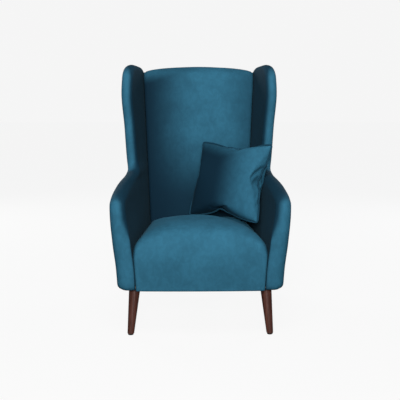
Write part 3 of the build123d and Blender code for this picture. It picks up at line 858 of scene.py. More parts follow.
@dataclass
class SidePanel:
    """One side of the chair: arm and wing as a single padded panel with a full rounded front and top edge."""

    side: Side
    shell: Shell = SHELL
    rows: int = 230
    edge_share: float = 0.46
    tight_share: float = 0.09
    base_round: float = 0.020
    rear_round: float = 0.009
    round_share: float = 0.94
    seat_low: float = 0.385
    seat_high: float = 0.465
    seam_setback: float = 0.008
    seam_depth: float = 0.0022
    seam_width: float = 0.0035
    seam_spread: float = 0.002
    rim: float = 0.006
    rim_from: float = 0.1
    rim_run: float = 0.4
    hollow: float = 0.009
    rear_top: float = 0.030
    turn_reach: float = 0.09
    level_reach: float = 0.045
    outer_points: int = 26
    inner_points: int = 32
    arc_points: int = 13
    ease: int = 4
    # Painted light and shade levels: the lowest, on faces turned from the front, and the one on the outer
    # face.
    dark_nap: float = 0.14
    outer_nap: float = 0.75
    fill: float = 0.85

    def outline(self) -> np.ndarray:
        """Edge seen from the side: up the arm, over its slope, up the wing and over its top to the rear.

        Returns:
            Rows of y and z at even steps.
        """
        shell = self.shell
        lower = shell.stations()[1:-1, [1, 0]]
        foot = [
            (shell.arm_front + 0.013, shell.base),
            (shell.arm_front + 0.006, shell.base + 0.008),
            (shell.arm_front + 0.003, shell.base + 0.034),
        ]
        end = shell.top - self.rear_top
        crown = [
            (shell.wing_front + 0.026, shell.top - 0.022),
            (shell.wing_front + 0.070, shell.top - 0.0045),
            (shell.wing_front + 0.118, shell.top),
            (0.262, shell.top - 0.001),
            (0.328, shell.top - 0.009),
            (float(shell.rear(end)), end),
        ]
        return even_curve(np.concatenate([foot, lower, crown]), self.rows, self.ease)

    def inward(self, outline: np.ndarray) -> np.ndarray:
        """Direction into the panel across its edge: level at its foot, down the rear at its end.

        Args:
            outline: Rows of y and z.

        Returns:
            One unit vector per row.
        """
        tangent = np.gradient(outline, axis=0)
        normal = unit(np.stack([tangent[:, 1], -tangent[:, 0]], axis=1))
        rake = np.array([float(self.shell.rear(0.0) - self.shell.rear(1.0)), -1.0])
        to_end = np.linalg.norm(outline - outline[-1], axis=1)
        turn = np.clip(1.0 - to_end / self.turn_reach, 0.0, 1.0)[:, None] ** 1.5
        blended = (1.0 - turn) * normal + turn * rake / np.linalg.norm(rake)
        low = 1.0 - soft_step(outline[:, 1:], self.shell.base, self.shell.base + self.level_reach)
        blended = (1.0 - low) * blended + low * np.array([1.0, 0.0])
        return unit(blended)

    def rear_ends(self, outline: np.ndarray) -> np.ndarray:
        """Point of the rear edge to which each row of the panel runs.

        Args:
            outline: Rows of y and z.

        Returns:
            Rows of y and z on the rear plane.
        """
        shell = self.shell
        run = chord_knots(outline)
        marks = [
            run[0],
            run[np.argmax(outline[:, 1] > shell.arm_top - 0.020)],
            run[np.argmax(outline[:, 1] > shell.foot)],
            run[np.argmax(outline[:, 1] > shell.top - 0.056)],
            run[-1],
        ]
        heights = [
            shell.base,
            shell.base + 0.115,
            shell.foot - 0.034,
            shell.top - 0.140,
            shell.top - 0.100,
        ]
        z = monotone(np.array(marks), np.array(heights), run)[:, 0]
        return np.stack([shell.rear(z), z], axis=1)

    def rounded_base(self, y: np.ndarray, z: np.ndarray) -> np.ndarray:
        """How far the lower outer corner draws in: a quarter circle above the base, tighter towards the rear.

        Args:
            y: Places along the chair.
            z: Heights.

        Returns:
            The distances.
        """
        front = self.shell.arm_front
        share = np.clip((y - front) / (self.shell.rear(z) - front), 0.0, 1.0)
        size = self.base_round + share * (self.rear_round - self.base_round)
        fall = np.clip(1.0 - (z - self.shell.base) / size, 0.0, 1.0)
        return size * (1.0 - np.sqrt(1.0 - self.round_share * fall * fall))

    def points(self) -> np.ndarray:
        """Surface of edge parameter by ring parameter.

        Each ring starts at the rear of the outer face and runs in a straight line to the front, crosses the
        seam, rounds the edge in two quarter ellipses and returns along the inner face.

        Returns:
            Array of rows, ring points and x, y, z.
        """
        outline = self.outline()
        inward = self.inward(outline)
        ends = self.rear_ends(outline)
        outer, inner = self.shell.faces(*outline.T)
        radius = self.edge_share * (outer - inner)
        above_seat = np.clip((outline[:, 1] - self.seat_low) / (self.seat_high - self.seat_low), 0.0, 1.0)
        fullness = self.tight_share + above_seat * (self.edge_share - self.tight_share)
        inner_radius = fullness * (outer - inner)
        straight = np.linspace(1.0, 0.0, self.outer_points)[:-1] ** 1.15
        seam = self.seam_setback + self.seam_width * np.array([2.2, 1.2, 0.5, 0.0, -0.5, -1.2])
        angle = np.linspace(0.0, math.pi / 2, self.arc_points)
        lead = radius + seam[0]
        front = outline + lead[:, None] * inward
        outer_flat = front[:, None] + straight[None, :, None] * (ends - front)[:, None]
        outer_seam = outline[:, None] + (radius[:, None] + seam)[..., None] * inward[:, None]
        depth = radius[:, None] * (1.0 - np.cos(angle))
        band = outline[:, None] + depth[..., None] * inward[:, None]
        inner_depth = inner_radius[:, None] * (1.0 - np.cos(angle))
        inner_band = outline[:, None] + inner_depth[..., None] * inward[:, None]
        inner_front = outline + inner_radius[:, None] * inward
        inner_share = np.linspace(0.0, 1.0, self.inner_points)[1:] ** 1.1
        inner_flat = inner_front[:, None] + inner_share[None, :, None] * (ends - inner_front)[:, None]
        place = np.concatenate([outer_flat, outer_seam, band[:, ::-1], inner_band[:, 1:], inner_flat], axis=1)
        full_outer = np.ones(outer_flat.shape[1] + outer_seam.shape[1])
        full_inner = np.ones(inner_flat.shape[1])
        ring = np.concatenate([full_outer, np.sin(angle[::-1]), -np.sin(angle[1:]), -full_inner])
        y, z = place[..., 0], place[..., 1]
        outer, inner = self.shell.faces(y, z)
        outer = outer - self.rounded_base(y, z)
        groove = np.zeros_like(ring)
        start = outer_flat.shape[1]
        from_seam = (seam - self.seam_setback) / self.seam_spread
        groove[start : start + len(seam)] = self.seam_depth * np.exp(-(from_seam**2))
        middle, half = (outer + inner) / 2, (outer - inner) / 2
        x = middle + half * ring - groove
        return np.stack([x, y, z], axis=-1)

    def underside(self, ring: np.ndarray) -> np.ndarray:
        """Rings that turn the lower edge under and up into the panel, above the dust cover.

        Args:
            ring: Lowest ring of the panel.

        Returns:
            Two more rings, the innermost first.
        """
        outer, inner = self.shell.faces(ring[:, 1], ring[:, 2])
        middle = (outer - self.rounded_base(ring[:, 1], ring[:, 2]) + inner) / 2
        ahead = np.clip((self.rim_from - ring[:, 1]) / self.rim_run, 0.0, 1.0)
        turned = ring.copy()
        turned[:, 0] += np.sign(middle - ring[:, 0]) * np.minimum(self.rim, np.abs(middle - ring[:, 0]))
        turned[:, 1] += self.rim * ahead
        raised = turned.copy()
        raised[:, 2] += self.hollow
        return np.stack([raised, turned])

    def painted_shade(self, points: np.ndarray, normals: np.ndarray) -> np.ndarray:
        """Painted light and shade of the panel: light on its front band and its outer face, dark on its inner
        face and its tops.

        Args:
            points: Points of the panel; not used.
            normals: Their normals.

        Returns:
            The painted light and shade at each point.
        """
        facing = normals @ np.array([0.42 * self.side.value, -0.90, 0.0])
        front = soft_step(facing, 0.30, 0.95)
        outside = self.outer_nap * soft_step(self.side.value * normals[:, 0], 0.6, 0.9)
        return np.maximum(self.dark_nap + (1.0 - self.dark_nap) * front, outside)

    def build(self, finish: bpy.types.Material) -> bpy.types.Object:
        """Builds and dresses the panel.

        Args:
            finish: The velvet.

        Returns:
            The piece.
        """
        surface = self.points()
        surface = np.concatenate([self.underside(surface[0]), surface])
        surface[..., 0] *= self.side.value
        rows, columns = surface.shape[:2]
        first = np.arange(columns)
        last = first + (rows - 1) * columns
        faces = [grid_faces(rows, columns, True), strip_faces(first), strip_faces(last)]
        label = self.side.label
        piece = make_piece(f"side_panel_{label}", surface.reshape(-1, 3), faces)
        paint_shade(piece, self.painted_shade)
        nodes = (f"inside_cover_{label}", f"outside_cover_{label}", f"side_foam_{label}")
        settle(piece, CHAIR, finish, "velvet", *nodes)
        return piece


@dataclass
class LoftedPad:
    """Pad lofted through level rounded outlines, with a crowned top and a hollow underside."""

    name: str
    nodes: Tuple[str, ...]
    levels: np.ndarray
    painted_shade: PaintedShadeRule
    rim: float
    hollow: float
    fill: float
    press: Optional[Callable[[np.ndarray], np.ndarray]] = None
    loop_points: int = 200
    level_count: int = 76
    rounding: float = 0.2
    sag: float = 0.0012
    crown_shares: Tuple[float, ...] = (0.84, 0.66, 0.48, 0.30, 0.12)

    def loops(self) -> np.ndarray:
        """Outlines at even steps up the pad.

        A loop is a rectangle with arcs at its corners, narrowed evenly from front to rear, its front and rear
        edges bowed by a parabola.

        Returns:
            Array of levels, loop points and x, y, z.
        """
        profile = self.levels[:, [0, 1, 3]]
        knots = chord_knots(profile)
        read = monotone(knots, self.levels, np.linspace(0.0, 1.0, self.level_count))
        z, front, rear, front_half, rear_half, front_bow, rear_bow, corner = read.T[:, :, None]
        step = np.linspace(-1.0, 1.0, self.loop_points // 4, endpoint=False)[None, :]
        step = 0.45 * step + 0.55 * np.sin(step * math.pi / 2)
        one = np.ones_like(step)
        across = np.concatenate([step, one, -step, -one], axis=1)
        along = np.concatenate([-one, step, one, -step], axis=1)
        deep = (rear - front) / 2
        corner = np.minimum(corner, 0.95 * np.minimum(deep, front_half))
        x, y = across * front_half, along * deep
        core_x = np.clip(x, corner - front_half, front_half - corner)
        core_y = np.clip(y, corner - deep, deep - corner)
        away_x, away_y = x - core_x, y - core_y
        length = np.maximum(np.hypot(away_x, away_y), TINY)
        x = core_x + corner * away_x / length
        y = core_y + corner * away_y / length
        share = (y + deep) / (2 * deep)
        bulge = 1.0 - (x / front_half) ** 2
        y = y + (front + rear) / 2 - front_bow * bulge * (1.0 - share) ** 2 + rear_bow * bulge * share**2
        x = x * (1.0 + share * (rear_half / front_half - 1.0))
        return np.stack([x, y, np.broadcast_to(z, x.shape)], axis=-1)

    def shape(self, loops: np.ndarray) -> np.ndarray:
        """Loops of the whole skin: the hollow underside, round the rim, up the sides and in to the crown.

        Args:
            loops: Outlines up the pad.

        Returns:
            All loops, from the ceiling of the hollow to the middle of the crown.
        """
        low, high = loops[0], loops[-1]
        centre = low.mean(axis=0)
        inward = centre - low
        inward[:, 2] = 0.0
        inward = unit(inward)
        rim = low + self.rim * inward
        ceiling = rim + np.array([0.0, 0.0, self.hollow])
        rounded = low + self.rounding * self.rim * inward - np.array([0.0, 0.0, self.sag])
        middle = high.mean(axis=0)
        share = np.array(self.crown_shares)[:, None, None]
        crown = middle + share * (high - middle)
        return np.concatenate([[ceiling], [rim], [rounded], loops, crown])

    def build(self, finish: bpy.types.Material) -> bpy.types.Object:
        """Builds and dresses the pad.

        Args:
            finish: The velvet.

        Returns:
            The piece.
        """
        skin = self.shape(self.loops())
        if self.press is not None:
            skin[..., 2] -= self.press(skin)
        piece = capped(self.name, skin)
        paint_shade(piece, self.painted_shade)
        settle(piece, CHAIR, finish, "velvet", *self.nodes)
        return piece


@dataclass
class Seat:
    """Deep sprung seat: an upright front that rounds over into a crowned top between the arms."""

    shell: Shell = SHELL
    rise: float = 0.252
    overhang: float = 0.019
    gap: float = 0.0015
    bow: float = 0.006
    tuck: float = 0.008
    dent: float = 0.016
    dent_width: float = 0.034
    dent_from: Pair = (-0.030, 0.010)
    dent_to: Pair = (0.225, -0.185)
    dent_below: Pair = (0.09, 0.03)
    # Share of painted shade where the seat turns down at its sides.
    side_painted_shade: float = 0.7

    @property
    def top(self) -> float:
        """Height of the seat's crown."""
        return self.shell.base + self.rise

    def level(
        self, z: float, front_inset: float, side: float, rear_inset: float, bow: float, corner: float
    ) -> List[float]:
        """One outline of the seat.

        Args:
            z: Height.
            front_inset: Distance in from the front.
            side: Distance in from the arms.
            rear_inset: Distance in from the back.
            bow: How far the rear edge bows out.
            corner: Radius of the corners.

        Returns:
            Height, front, rear, half widths at both, both bows and the corner.
        """
        front = self.shell.arm_front - self.overhang + self.bow + front_inset
        rear = float(self.shell.joint(z)) + self.tuck - rear_inset
        places = np.array([front, rear])
        _, inner = self.shell.faces(places, np.full(2, z))
        halves = inner - self.gap - side
        return [z, front, rear, halves[0], halves[1], self.bow, bow, corner]

    def press(self, skin: np.ndarray) -> np.ndarray:
        """How far the cushion's lower edge presses the top of the seat down: a soft trough under the edge.

        Args:
            skin: Points of the seat.

        Returns:
            The drop at each point.
        """
        start, end = np.array(self.dent_from), np.array(self.dent_to)
        run = end - start
        share = np.clip((skin[..., :2] - start) @ run / (run @ run), 0.0, 1.0)
        away = np.linalg.norm(skin[..., :2] - start - share[..., None] * run, axis=-1)
        start_below, end_below = self.dent_below
        high = soft_step(skin[..., 2], self.top - start_below, self.top - end_below)
        return self.dent * high * np.exp(-((away / self.dent_width) ** 2))

    def painted_shade(self, points: np.ndarray, normals: np.ndarray) -> np.ndarray:
        """Painted light and shade of the seat: light, with painted shade where it turns down at the sides.

        Args:
            points: Points of the seat; not used.
            normals: Their normals.

        Returns:
            The painted light and shade at each point.
        """
        return 1.0 - self.side_painted_shade * soft_step(np.abs(normals[:, 0]), 0.45, 0.95)

    def build(self, finish: bpy.types.Material) -> bpy.types.Object:
        """Builds and dresses the seat.

        Args:
            finish: The velvet.

        Returns:
            The piece.
        """
        base, top = self.shell.base, self.top
        rows = [
            (base + 0.001, 0.012, 0.0, 0.0, -0.028, 0.010),
            (base + 0.46 * self.rise, 0.0, 0.0, 0.0, -0.028, 0.014),
            (top - 0.115, 0.0, 0.0, 0.0, -0.028, 0.020),
            (top - 0.085, 0.003, 0.007, 0.022, -0.028, 0.030),
            (top - 0.055, 0.012, 0.030, 0.075, -0.024, 0.046),
            (top - 0.033, 0.027, 0.062, 0.140, -0.012, 0.060),
            (top - 0.017, 0.050, 0.100, 0.208, 0.006, 0.066),
            (top - 0.007, 0.086, 0.138, 0.254, 0.014, 0.062),
            (top, 0.150, 0.182, 0.292, 0.020, 0.040),
        ]
        levels = np.array([self.level(*row) for row in rows])
        nodes = ("seat_cover", "seat_foam")
        pad = LoftedPad("seat_pad", nodes, levels, self.painted_shade, rim=0.020, hollow=0.095, fill=0.9)
        pad.press = self.press
        return pad.build(finish)


@dataclass
class InsideBack:
    """Tall inside back: crowned across its width, with a rounded crowned top that rolls over to the rear."""

    shell: Shell = SHELL
    deck: float = 0.2855
    gap: float = 0.0025
    crown: float = 0.020
    tuck: float = 0.014
    # Painted light and shade levels: the lowest, the one at the top, and the share of painted shade down the
    # right.
    dark_nap: float = 0.08
    top_nap: float = 0.8
    right_painted_shade: float = 0.45

    def level(self, z: float, side: float, push: float, drop: float, corner: float) -> List[float]:
        """One outline of the back.

        Args:
            z: Height.
            side: Distance in from the wings.
            push: How far the front has rolled back.
            drop: How far the rear has rolled forward.
            corner: Radius of the corners.

        Returns:
            Height, front, rear, half widths at both, both bows and the corner.
        """
        front = float(self.shell.joint(z)) + push + self.tuck
        rear = float(self.shell.rear(z)) - drop
        half = float(self.shell.inner_rear(z)) - self.gap - side
        return [z, front, rear, half, half, self.crown + self.tuck, 0.0, corner]

    def painted_shade(self, points: np.ndarray, normals: np.ndarray) -> np.ndarray:
        """Painted light and shade of the back: painted shade down its left, towards the seat and partly down
        its right, painted light at the middle and the top.

        Args:
            points: Points of the back.
            normals: Their normals; not used.

        Returns:
            The painted light and shade at each point.
        """
        left = soft_step(points[:, 0], -0.255, 0.01)
        right = 1.0 - self.right_painted_shade * soft_step(points[:, 0], 0.10, 0.25)
        low = self.dark_nap + (1.0 - self.dark_nap) * soft_step(points[:, 2], 0.45, 0.80)
        high = soft_step(points[:, 2], 0.98, 1.05)
        return np.maximum(left * right * low, self.top_nap * high)

    def build(self, finish: bpy.types.Material) -> bpy.types.Object:
        """Builds and dresses the back.

        Args:
            finish: The velvet.

        Returns:
            The piece.
        """
        top = self.shell.top
        rows = [
            (self.deck, 0.0, 0.0, 0.0, 0.012),
            (top - 0.30, 0.0, 0.0, 0.0, 0.012),
            (top - 0.066, 0.0, 0.0, 0.0, 0.012),
            (top - 0.046, 0.0, 0.003, 0.0, 0.014),
            (top - 0.026, 0.005, 0.013, 0.001, 0.020),
            (top - 0.014, 0.034, 0.028, 0.006, 0.030),
            (top - 0.005, 0.096, 0.048, 0.017, 0.034),
            (top, 0.180, 0.070, 0.036, 0.030),
        ]
        levels = np.array([self.level(*row) for row in rows])
        nodes = ("inside_back_cover", "back_foam")
        pad = LoftedPad("inside_back", nodes, levels, self.painted_shade, rim=0.012, hollow=0.010, fill=0.8)
        return pad.build(finish)


@dataclass
class OutsideBack:
    """Tight panel that closes the rear: faintly crowned, its edge wrapped forward round the backing board."""

    shell: Shell = SHELL
    board: float = 0.0043
    skin: float = 0.0022
    lip: float = 0.032
    bulge: float = 0.006
    corner_drop: float = 0.030
    crown_drop: float = 0.006
    corner_passes: int = 5
    corner_reach: float = 0.09
    foot_points: int = 60
    climb_points: int = 100
    arch_points: int = 90
    face_rings: int = 24
    hem: float = 0.020
    clearance: float = 0.0002
    swell_power: float = 2.5
    # One level of painted light and shade over the whole rear panel.
    nap: float = 0.75

    def outline(self) -> np.ndarray:
        """Edge of the board: a straight foot, straight sides, an arched top and rounded upper corners.

        Returns:
            Rows of x and z round the board.
        """
        base = self.shell.base + 0.001
        high = self.shell.top - self.corner_drop
        low_half = float(self.shell.outer_rear(base))
        high_half = float(self.shell.outer_rear(high))
        rise = self.corner_drop - self.crown_drop
        foot = np.linspace(-1.0, 1.0, self.foot_points, endpoint=False)
        climb = np.linspace(0.0, 1.0, self.climb_points, endpoint=False)
        arch = np.linspace(1.0, -1.0, self.arch_points, endpoint=False)
        bottom = np.stack([foot * low_half, np.full_like(foot, base)], axis=1)
        right = np.stack([low_half + climb * (high_half - low_half), base + climb * (high - base)], axis=1)
        top = np.stack([arch * high_half, high + rise * (1.0 - arch**2)], axis=1)
        left = np.stack([-right[::-1, 0], right[::-1, 1]], axis=1)
        loop = np.concatenate([bottom, right, top, left])
        upper = (loop[:, 1:] > high - self.corner_reach).astype(float)
        for _ in range(self.corner_passes):
            before, after = neighbours(loop)
            mean = (before + loop + after) / 3
            loop = loop + upper * (mean - loop)
        return loop

    def build(self, finish: bpy.types.Material) -> bpy.types.Object:
        """Builds and dresses the panel, from behind the board forward round its edge and back over its face.

        Args:
            finish: The velvet.

        Returns:
            The piece.
        """
        loop = self.outline()
        before, after = neighbours(loop)
        tangent = after - before
        outward = unit(np.stack([tangent[:, 1], -tangent[:, 0]], axis=1))
        skin, board = self.skin, self.board
        lip, turn = self.lip, -0.4 * skin
        spread = np.array([-self.hem, 0.0, 0.0, -lip, -lip, 0.3 * skin, skin, skin, 0.7 * skin, 0.0, -0.004])
        behind = board + skin * np.array([0.0, 0.7, 1.0, 1.1])
        back = np.array([board, board, self.clearance, self.clearance, turn, turn, 0.3 * skin, *behind])
        edge = loop + spread[:, None, None] * outward
        inner = np.linspace(0.03, 0.97, self.face_rings)
        centre = loop.mean(axis=0)
        face = centre + (1.0 - inner)[:, None, None] * (loop - centre)
        swell = board + 1.1 * skin + self.bulge * (1.0 - (1.0 - inner) ** self.swell_power)
        flat = np.concatenate([edge, face])
        depth = self.shell.rear(flat[..., 1]) + np.concatenate([back, swell])[:, None]
        skins = np.stack([flat[..., 0], depth, flat[..., 1]], axis=-1)
        piece = capped("outside_back", skins)
        # The whole rear panel gets one level of painted light and shade.
        paint_shade(piece, lambda points, normals: np.full(len(points), self.nap))
        settle(piece, CHAIR, finish, "velvet", "outside_back_cover")
        return piece


@dataclass
class ScatterCushion:
    """Square loose cushion: two sheets sewn round the edge and blown up as cloth, with piping in the seam."""

    half_width: float = 0.172
    half_height: float = 0.162
    half_thickness: float = 0.064
    draw: float = 0.014
    trim: float = 0.008
    piping: float = 0.0035
    cells: int = 54
    centre: Point = (0.1260, -0.0440, 0.5722)
    across: Point = (0.7944, -0.607, -0.003)
    up: Point = (0.200, 0.257, 0.945)
    slack: float = 0.55
    pressure: float = 2.2
    frames: int = 24
    tube_points: int = 12
    cord_passes: int = 3
    # Painted light and shade levels: the piping's, the lowest, and the one along the top.
    cord_nap: float = 0.3
    dark_nap: float = 0.03
    top_nap: float = 0.8
    dome_power: float = 1.35
    fill: float = 0.75
    axes: np.ndarray = field(init=False)

    def __post_init__(self) -> None:
        """Works out the three directions of the cushion: across, up and facing."""
        across = Vector(self.across).normalized()
        facing = across.cross(Vector(self.up)).normalized()
        self.axes = np.array([across, facing.cross(across), facing])

    def sheets(self) -> Tuple[np.ndarray, np.ndarray, np.ndarray]:
        """Two sheets with one common edge, in the cushion's own directions.

        The edge draws in as a parabola between its corners, and the height follows a root of how far a point
        lies from all four edges.

        Returns:
            The points, the quads, and the numbers of the points round the edge.
        """
        count = self.cells + 1
        even = np.linspace(-1.0, 1.0, count)
        step = np.sin(even * math.pi / 2) * 0.35 + even * 0.65
        u, v = np.meshgrid(step, step)
        x = u * (self.half_width - self.draw * (1.0 - v * v))
        y = v * (self.half_height - self.draw * (1.0 - u * u))
        inset = np.cbrt(np.clip((1.0 - u * u) * (1.0 - v * v), 0.0, 1.0))
        height = self.half_thickness * inset**self.dome_power
        front = np.stack([x, y, height], axis=-1).reshape(-1, 3)
        number = np.arange(count * count).reshape(count, count)
        inside = number[1:-1, 1:-1].ravel()
        other = number.copy()
        other[1:-1, 1:-1] = (count * count + np.arange(len(inside))).reshape(count - 2, count - 2)
        points = np.concatenate([front, front[inside] * (1.0, 1.0, -1.0)])
        edge = np.concatenate([number[0, :-1], number[:-1, -1], number[-1, :0:-1], number[:0:-1, 0]])
        cells = grid_faces(count, count, False)
        return points, np.concatenate([number.ravel()[cells], other.ravel()[cells][:, ::-1]]), edge

    def placed(self, local: np.ndarray) -> np.ndarray:
        """Points in the chair's frame.

        Args:
            local: Points in the cushion's own directions.

        Returns:
            The points set against the arm and the back.
        """
        return np.array(self.centre) + local @ self.axes

    def tube(self, path: np.ndarray) -> np.ndarray:
        """Piping: a circle carried round a closed path, square to it.

        Args:
            path: Points round the edge, in the cushion's own directions.

        Returns:
            Array of path points, circle points and x, y, z.
        """
        before, after = neighbours(path)
        tangent = unit(after - before)
        outward = unit(np.cross(tangent, np.array([0.0, 0.0, 1.0])))
        facing = np.cross(outward, tangent)
        turn = np.linspace(0.0, 2 * math.pi, self.tube_points, endpoint=False)
        ring = np.cos(turn)[:, None, None] * outward + np.sin(turn)[:, None, None] * facing
        centre = path + self.piping * 0.9 * outward
        return (centre + self.piping * ring).transpose(1, 0, 2)

    def blown(self, points: np.ndarray, quads: np.ndarray) -> np.ndarray:
        """Sheets after the cloth has been blown up, brought back to the cushion's own size.

        Args:
            points: The sewn sheets.
            quads: Their quads.

        Returns:
            The points of the cloth at the last frame.
        """
        across, along = points[:, :1] / self.half_width, points[:, 1:2] / self.half_height
        bow = np.concatenate([across * (1.0 - along**2), along * (1.0 - across**2)], axis=1)
        slack = points * (1.0, 1.0, self.slack)
        slack[:, :2] += (self.draw + self.trim) * bow
        cloth = make_piece("cushion_cloth", slack, [quads])
        modifier = cloth.modifiers.new("cloth", "CLOTH")
        settings = modifier.settings
        settings.quality = 6
        settings.mass = 0.25
        settings.tension_stiffness = 12.0
        settings.compression_stiffness = 10.0
        settings.shear_stiffness = 3.0
        settings.bending_stiffness = 0.6
        settings.use_pressure = True
        settings.uniform_pressure_force = self.pressure
        settings.effector_weights.gravity = 0.0
        modifier.collision_settings.use_self_collision = False
        modifier.point_cache.frame_end = self.frames
        scene = bpy.context.scene
        for number in range(1, self.frames + 1):
            scene.frame_set(number)
        graph = bpy.context.evaluated_depsgraph_get()
        result = cloth.evaluated_get(graph).to_mesh()
        moved = np.empty(len(result.vertices) * 3)
        result.vertices.foreach_get("co", moved)
        moved = moved.reshape(-1, 3)
        bpy.data.objects.remove(cloth)
        scene.frame_set(1)
        moved = moved - (moved.max(axis=0) + moved.min(axis=0)) / 2
        wanted = np.abs(points).max(axis=0)
        return moved * (wanted / np.abs(moved).max(axis=0))

    def painted_shade(self, points: np.ndarray, normals: np.ndarray) -> np.ndarray:
        """Painted light and shade of the cushion: painted shade on its left, painted light down its right and
        along its top.

        Args:
            points: Points of the cushion in the chair's frame.
            normals: Their normals; not used.

        Returns:
            The painted light and shade at each point.
        """
        local = (points - np.array(self.centre)) @ self.axes.T
        right = soft_step(local[:, 0], -0.04, 0.14)
        top = self.top_nap * soft_step(local[:, 1] + 0.25 * local[:, 0], 0.07, 0.15)
        return self.dark_nap + (1.0 - self.dark_nap) * np.maximum(right, top)

    def build(self, finish: bpy.types.Material) -> List[bpy.types.Object]:
        """Builds and dresses the cover and its piping.

        Args:
            finish: The cushion's velvet.

        Returns:
            The cover and the piping.
        """
        points, quads, edge = self.sheets()
        points = self.blown(points, quads)
        cover = make_piece("cushion_cover", self.placed(points), [quads])
        subdivide(cover, 1)
        paint_shade(cover, self.painted_shade)
        nodes = ("cushion_cover_front", "cushion_cover_back", "cushion_pad")
        settle(cover, CUSHION, finish, "cushion_velvet", *nodes)
        path = points[edge]
        for _ in range(self.cord_passes):
            before, after = neighbours(path)
            path = 0.5 * path + 0.25 * (before + after)
        ring = self.tube(path)
        rows, columns = ring.shape[:2]
        quads = grid_faces(rows + 1, columns, True) % (rows * columns)
        cord = make_piece("cushion_cord", self.placed(ring.reshape(-1, 3)), [quads])
        # The piping gets one low level of painted shade.
        paint_shade(cord, lambda points, normals: np.full(len(points), self.cord_nap))
        settle(cord, CUSHION, finish, "cushion_velvet", "cushion_piping")
        return [cover, cord]


@dataclass
class Carcass:
    """The frame, legs, springs and fastenings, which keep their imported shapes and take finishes."""

    nodes: Mapping[str, bpy.types.Object]

    def finishes(self) -> Dict[str, bpy.types.Material]:
        """Finish of each kind of node, by the start of its name.

        Returns:
            Materials by name start. The longest start that fits a name is the one used.
        """
        wood = {
            grain: Timber("frame_wood", FRAME_DARK, FRAME_LIGHT, grain, FRAME_GLOSS).material()
            for grain in Grain
        }
        zinc_nodes = (
            "spring_clips back_bolts corner_block_screws frame_screws leg_bolts leg_tee_nuts glide_nails"
            " dust_cover_staples"
        )
        across_nodes = (
            "front_seat_rail back_seat_rail back_lumbar_rail back_tack_rail back_top_rail corner_blocks"
        )
        kinds = [
            (LEG_WOOD.material(), "front_leg rear_leg"),
            (wood[Grain.UPRIGHT], "front_post back_post back_stile wing_stile"),
            (wood[Grain.ACROSS], across_nodes),
            (wood[Grain.FORE_AND_AFT], "side_seat_rail arm_rail wing_rail"),
            (ZINC_STEEL.material(), zinc_nodes),
            (SPRING_STEEL.material(), "seat_springs spring_tie_wires"),
            (NYLON.material(), "foot_glides"),
            (FELT.material(), "spring_felt"),
            (WEBBING.material(), "back_webbing"),
            (BACKING_BOARD.material(), "outside_back_board"),
            (DUST_CLOTH.material(), "dust_cover"),
        ]
        return {start: finish for finish, starts in kinds for start in starts.split()}

    def dress(self) -> None:
        """Gives each shown node its finish."""
        finishes = self.finishes()
        for name, node in self.nodes.items():
            if node.hide_render:
                continue
            start = max((key for key in finishes if name.startswith(key)), key=len)
            node.data.materials.clear()
            node.data.materials.append(finishes[start])
            log.info("%s: finish %s", name, finishes[start].name)


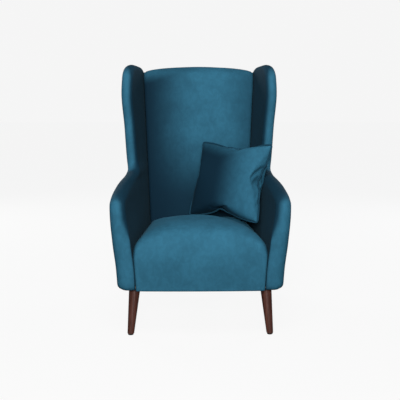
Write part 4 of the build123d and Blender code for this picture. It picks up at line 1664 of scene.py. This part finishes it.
@dataclass
class Studio:
    """Plain pale floor and backdrop, soft lights and the camera at the photograph's angle."""

    paper: float = 0.915
    eye: Point = (-0.037, -2.835, 0.895)
    pitch: float = 6.58
    yaw: float = -0.85
    lens: float = 59.75
    shift: Pair = (-0.00125, -0.0488)
    ambient: float = 0.02
    aim: Point = (0.0, 0.0, 0.55)
    floor_size: float = 30.0
    sensor: float = 36.0

    def backdrop(self) -> None:
        """Pale floor and world that the camera sees as one even tone."""
        signs = np.array([(-1.0, -1.0, 0.0), (1.0, -1.0, 0.0), (1.0, 1.0, 0.0), (-1.0, 1.0, 0.0)])
        corners = self.floor_size * signs
        mesh = bpy.data.meshes.new("floor")
        mesh.from_pydata(corners.tolist(), [], [(0, 1, 2, 3)])
        floor = shown("floor", mesh)
        shader = Shader("floor_paper")
        shader.finish(
            Base_Color=(0.05, 0.05, 0.05),
            Roughness=1.0,
            Specular_IOR_Level=0.0,
            Emission_Color=(self.paper, self.paper, self.paper),
            Emission_Strength=0.99,
        )
        mesh.materials.append(shader.material)
        floor.visible_diffuse = False
        floor.visible_glossy = False
        world = bpy.data.worlds.new("studio")
        bpy.context.scene.world = world
        world.use_nodes = True
        nodes, links = world.node_tree.nodes, world.node_tree.links
        paper = nodes["Background"]
        paper.inputs["Color"].default_value = (self.paper, self.paper, self.paper, 1.0)
        paper.inputs["Strength"].default_value = 1.0
        room = nodes.new("ShaderNodeBackground")
        room.inputs["Color"].default_value = (0.85, 0.93, 1.0, 1.0)
        room.inputs["Strength"].default_value = self.ambient
        rays = nodes.new("ShaderNodeLightPath")
        choose = nodes.new("ShaderNodeMixShader")
        links.new(rays.outputs["Is Camera Ray"], choose.inputs["Fac"])
        links.new(room.outputs["Background"], choose.inputs[1])
        links.new(paper.outputs["Background"], choose.inputs[2])
        links.new(choose.outputs["Shader"], nodes["World Output"].inputs["Surface"])

    def light(self, name: str, place: Point, size: float, watts: float, tint: Colour) -> None:
        """A square soft light that faces the chair.

        Args:
            name: Name of the light.
            place: Where it hangs.
            size: Side of the square.
            watts: Its power.
            tint: Its colour.
        """
        lamp = bpy.data.lights.new(name, "AREA")
        lamp.size = size
        lamp.energy = watts
        lamp.color = tint
        holder = shown(name, lamp)
        holder.location = place
        holder.rotation_euler = (Vector(self.aim) - Vector(place)).to_track_quat("-Z", "Y").to_euler()

    def lights(self) -> None:
        """Front key a little to the left, a weak front fill, one overhead, and two behind for the rear."""
        self.light("key", (-0.15, -3.6, 1.45), 0.9, 100.0, (1.0, 0.99, 0.97))
        self.light("fill", (0.7, -3.5, 0.8), 1.2, 10.0, (0.95, 0.98, 1.0))
        self.light("overhead", (-0.1, -1.6, 3.0), 1.2, 42.0, (1.0, 1.0, 1.0))
        self.light("rear_left", (-2.4, 2.4, 1.8), 1.5, 60.0, (1.0, 0.99, 0.97))
        self.light("rear_right", (2.6, 2.2, 1.6), 1.5, 45.0, (0.97, 0.99, 1.0))

    def camera(self) -> None:
        """Camera in front, a little left of the middle and above it, looking slightly down."""
        data = bpy.data.cameras.new("camera")
        data.lens = self.lens
        data.sensor_width = self.sensor
        data.shift_x, data.shift_y = self.shift
        camera = shown("camera", data)
        camera.location = self.eye
        camera.rotation_euler = (math.radians(90.0 - self.pitch), 0.0, math.radians(self.yaw))
        bpy.context.scene.camera = camera

    def build(self) -> None:
        """Sets up the whole studio."""
        self.backdrop()
        self.lights()
        self.camera()
        view = bpy.context.scene.view_settings
        view.view_transform = "Standard"
        view.look = "None"
        log.info("studio: camera at %s, lens %.1f mm", self.eye, self.lens)


def main() -> None:
    """Builds the studio, the pads, the cushion and the finishes, in that order."""
    logging.basicConfig(level=logging.INFO, format="%(name)s: %(message)s")
    Studio().build()
    velvet = VELVET.material()
    for side in Side:
        SidePanel(side).build(velvet)
    Seat().build(velvet)
    InsideBack().build(velvet)
    OutsideBack().build(velvet)
    ScatterCushion().build(CUSHION_VELVET.material())
    Carcass(frame["nodes"]).dress()


if __name__ == "__main__":
    main()
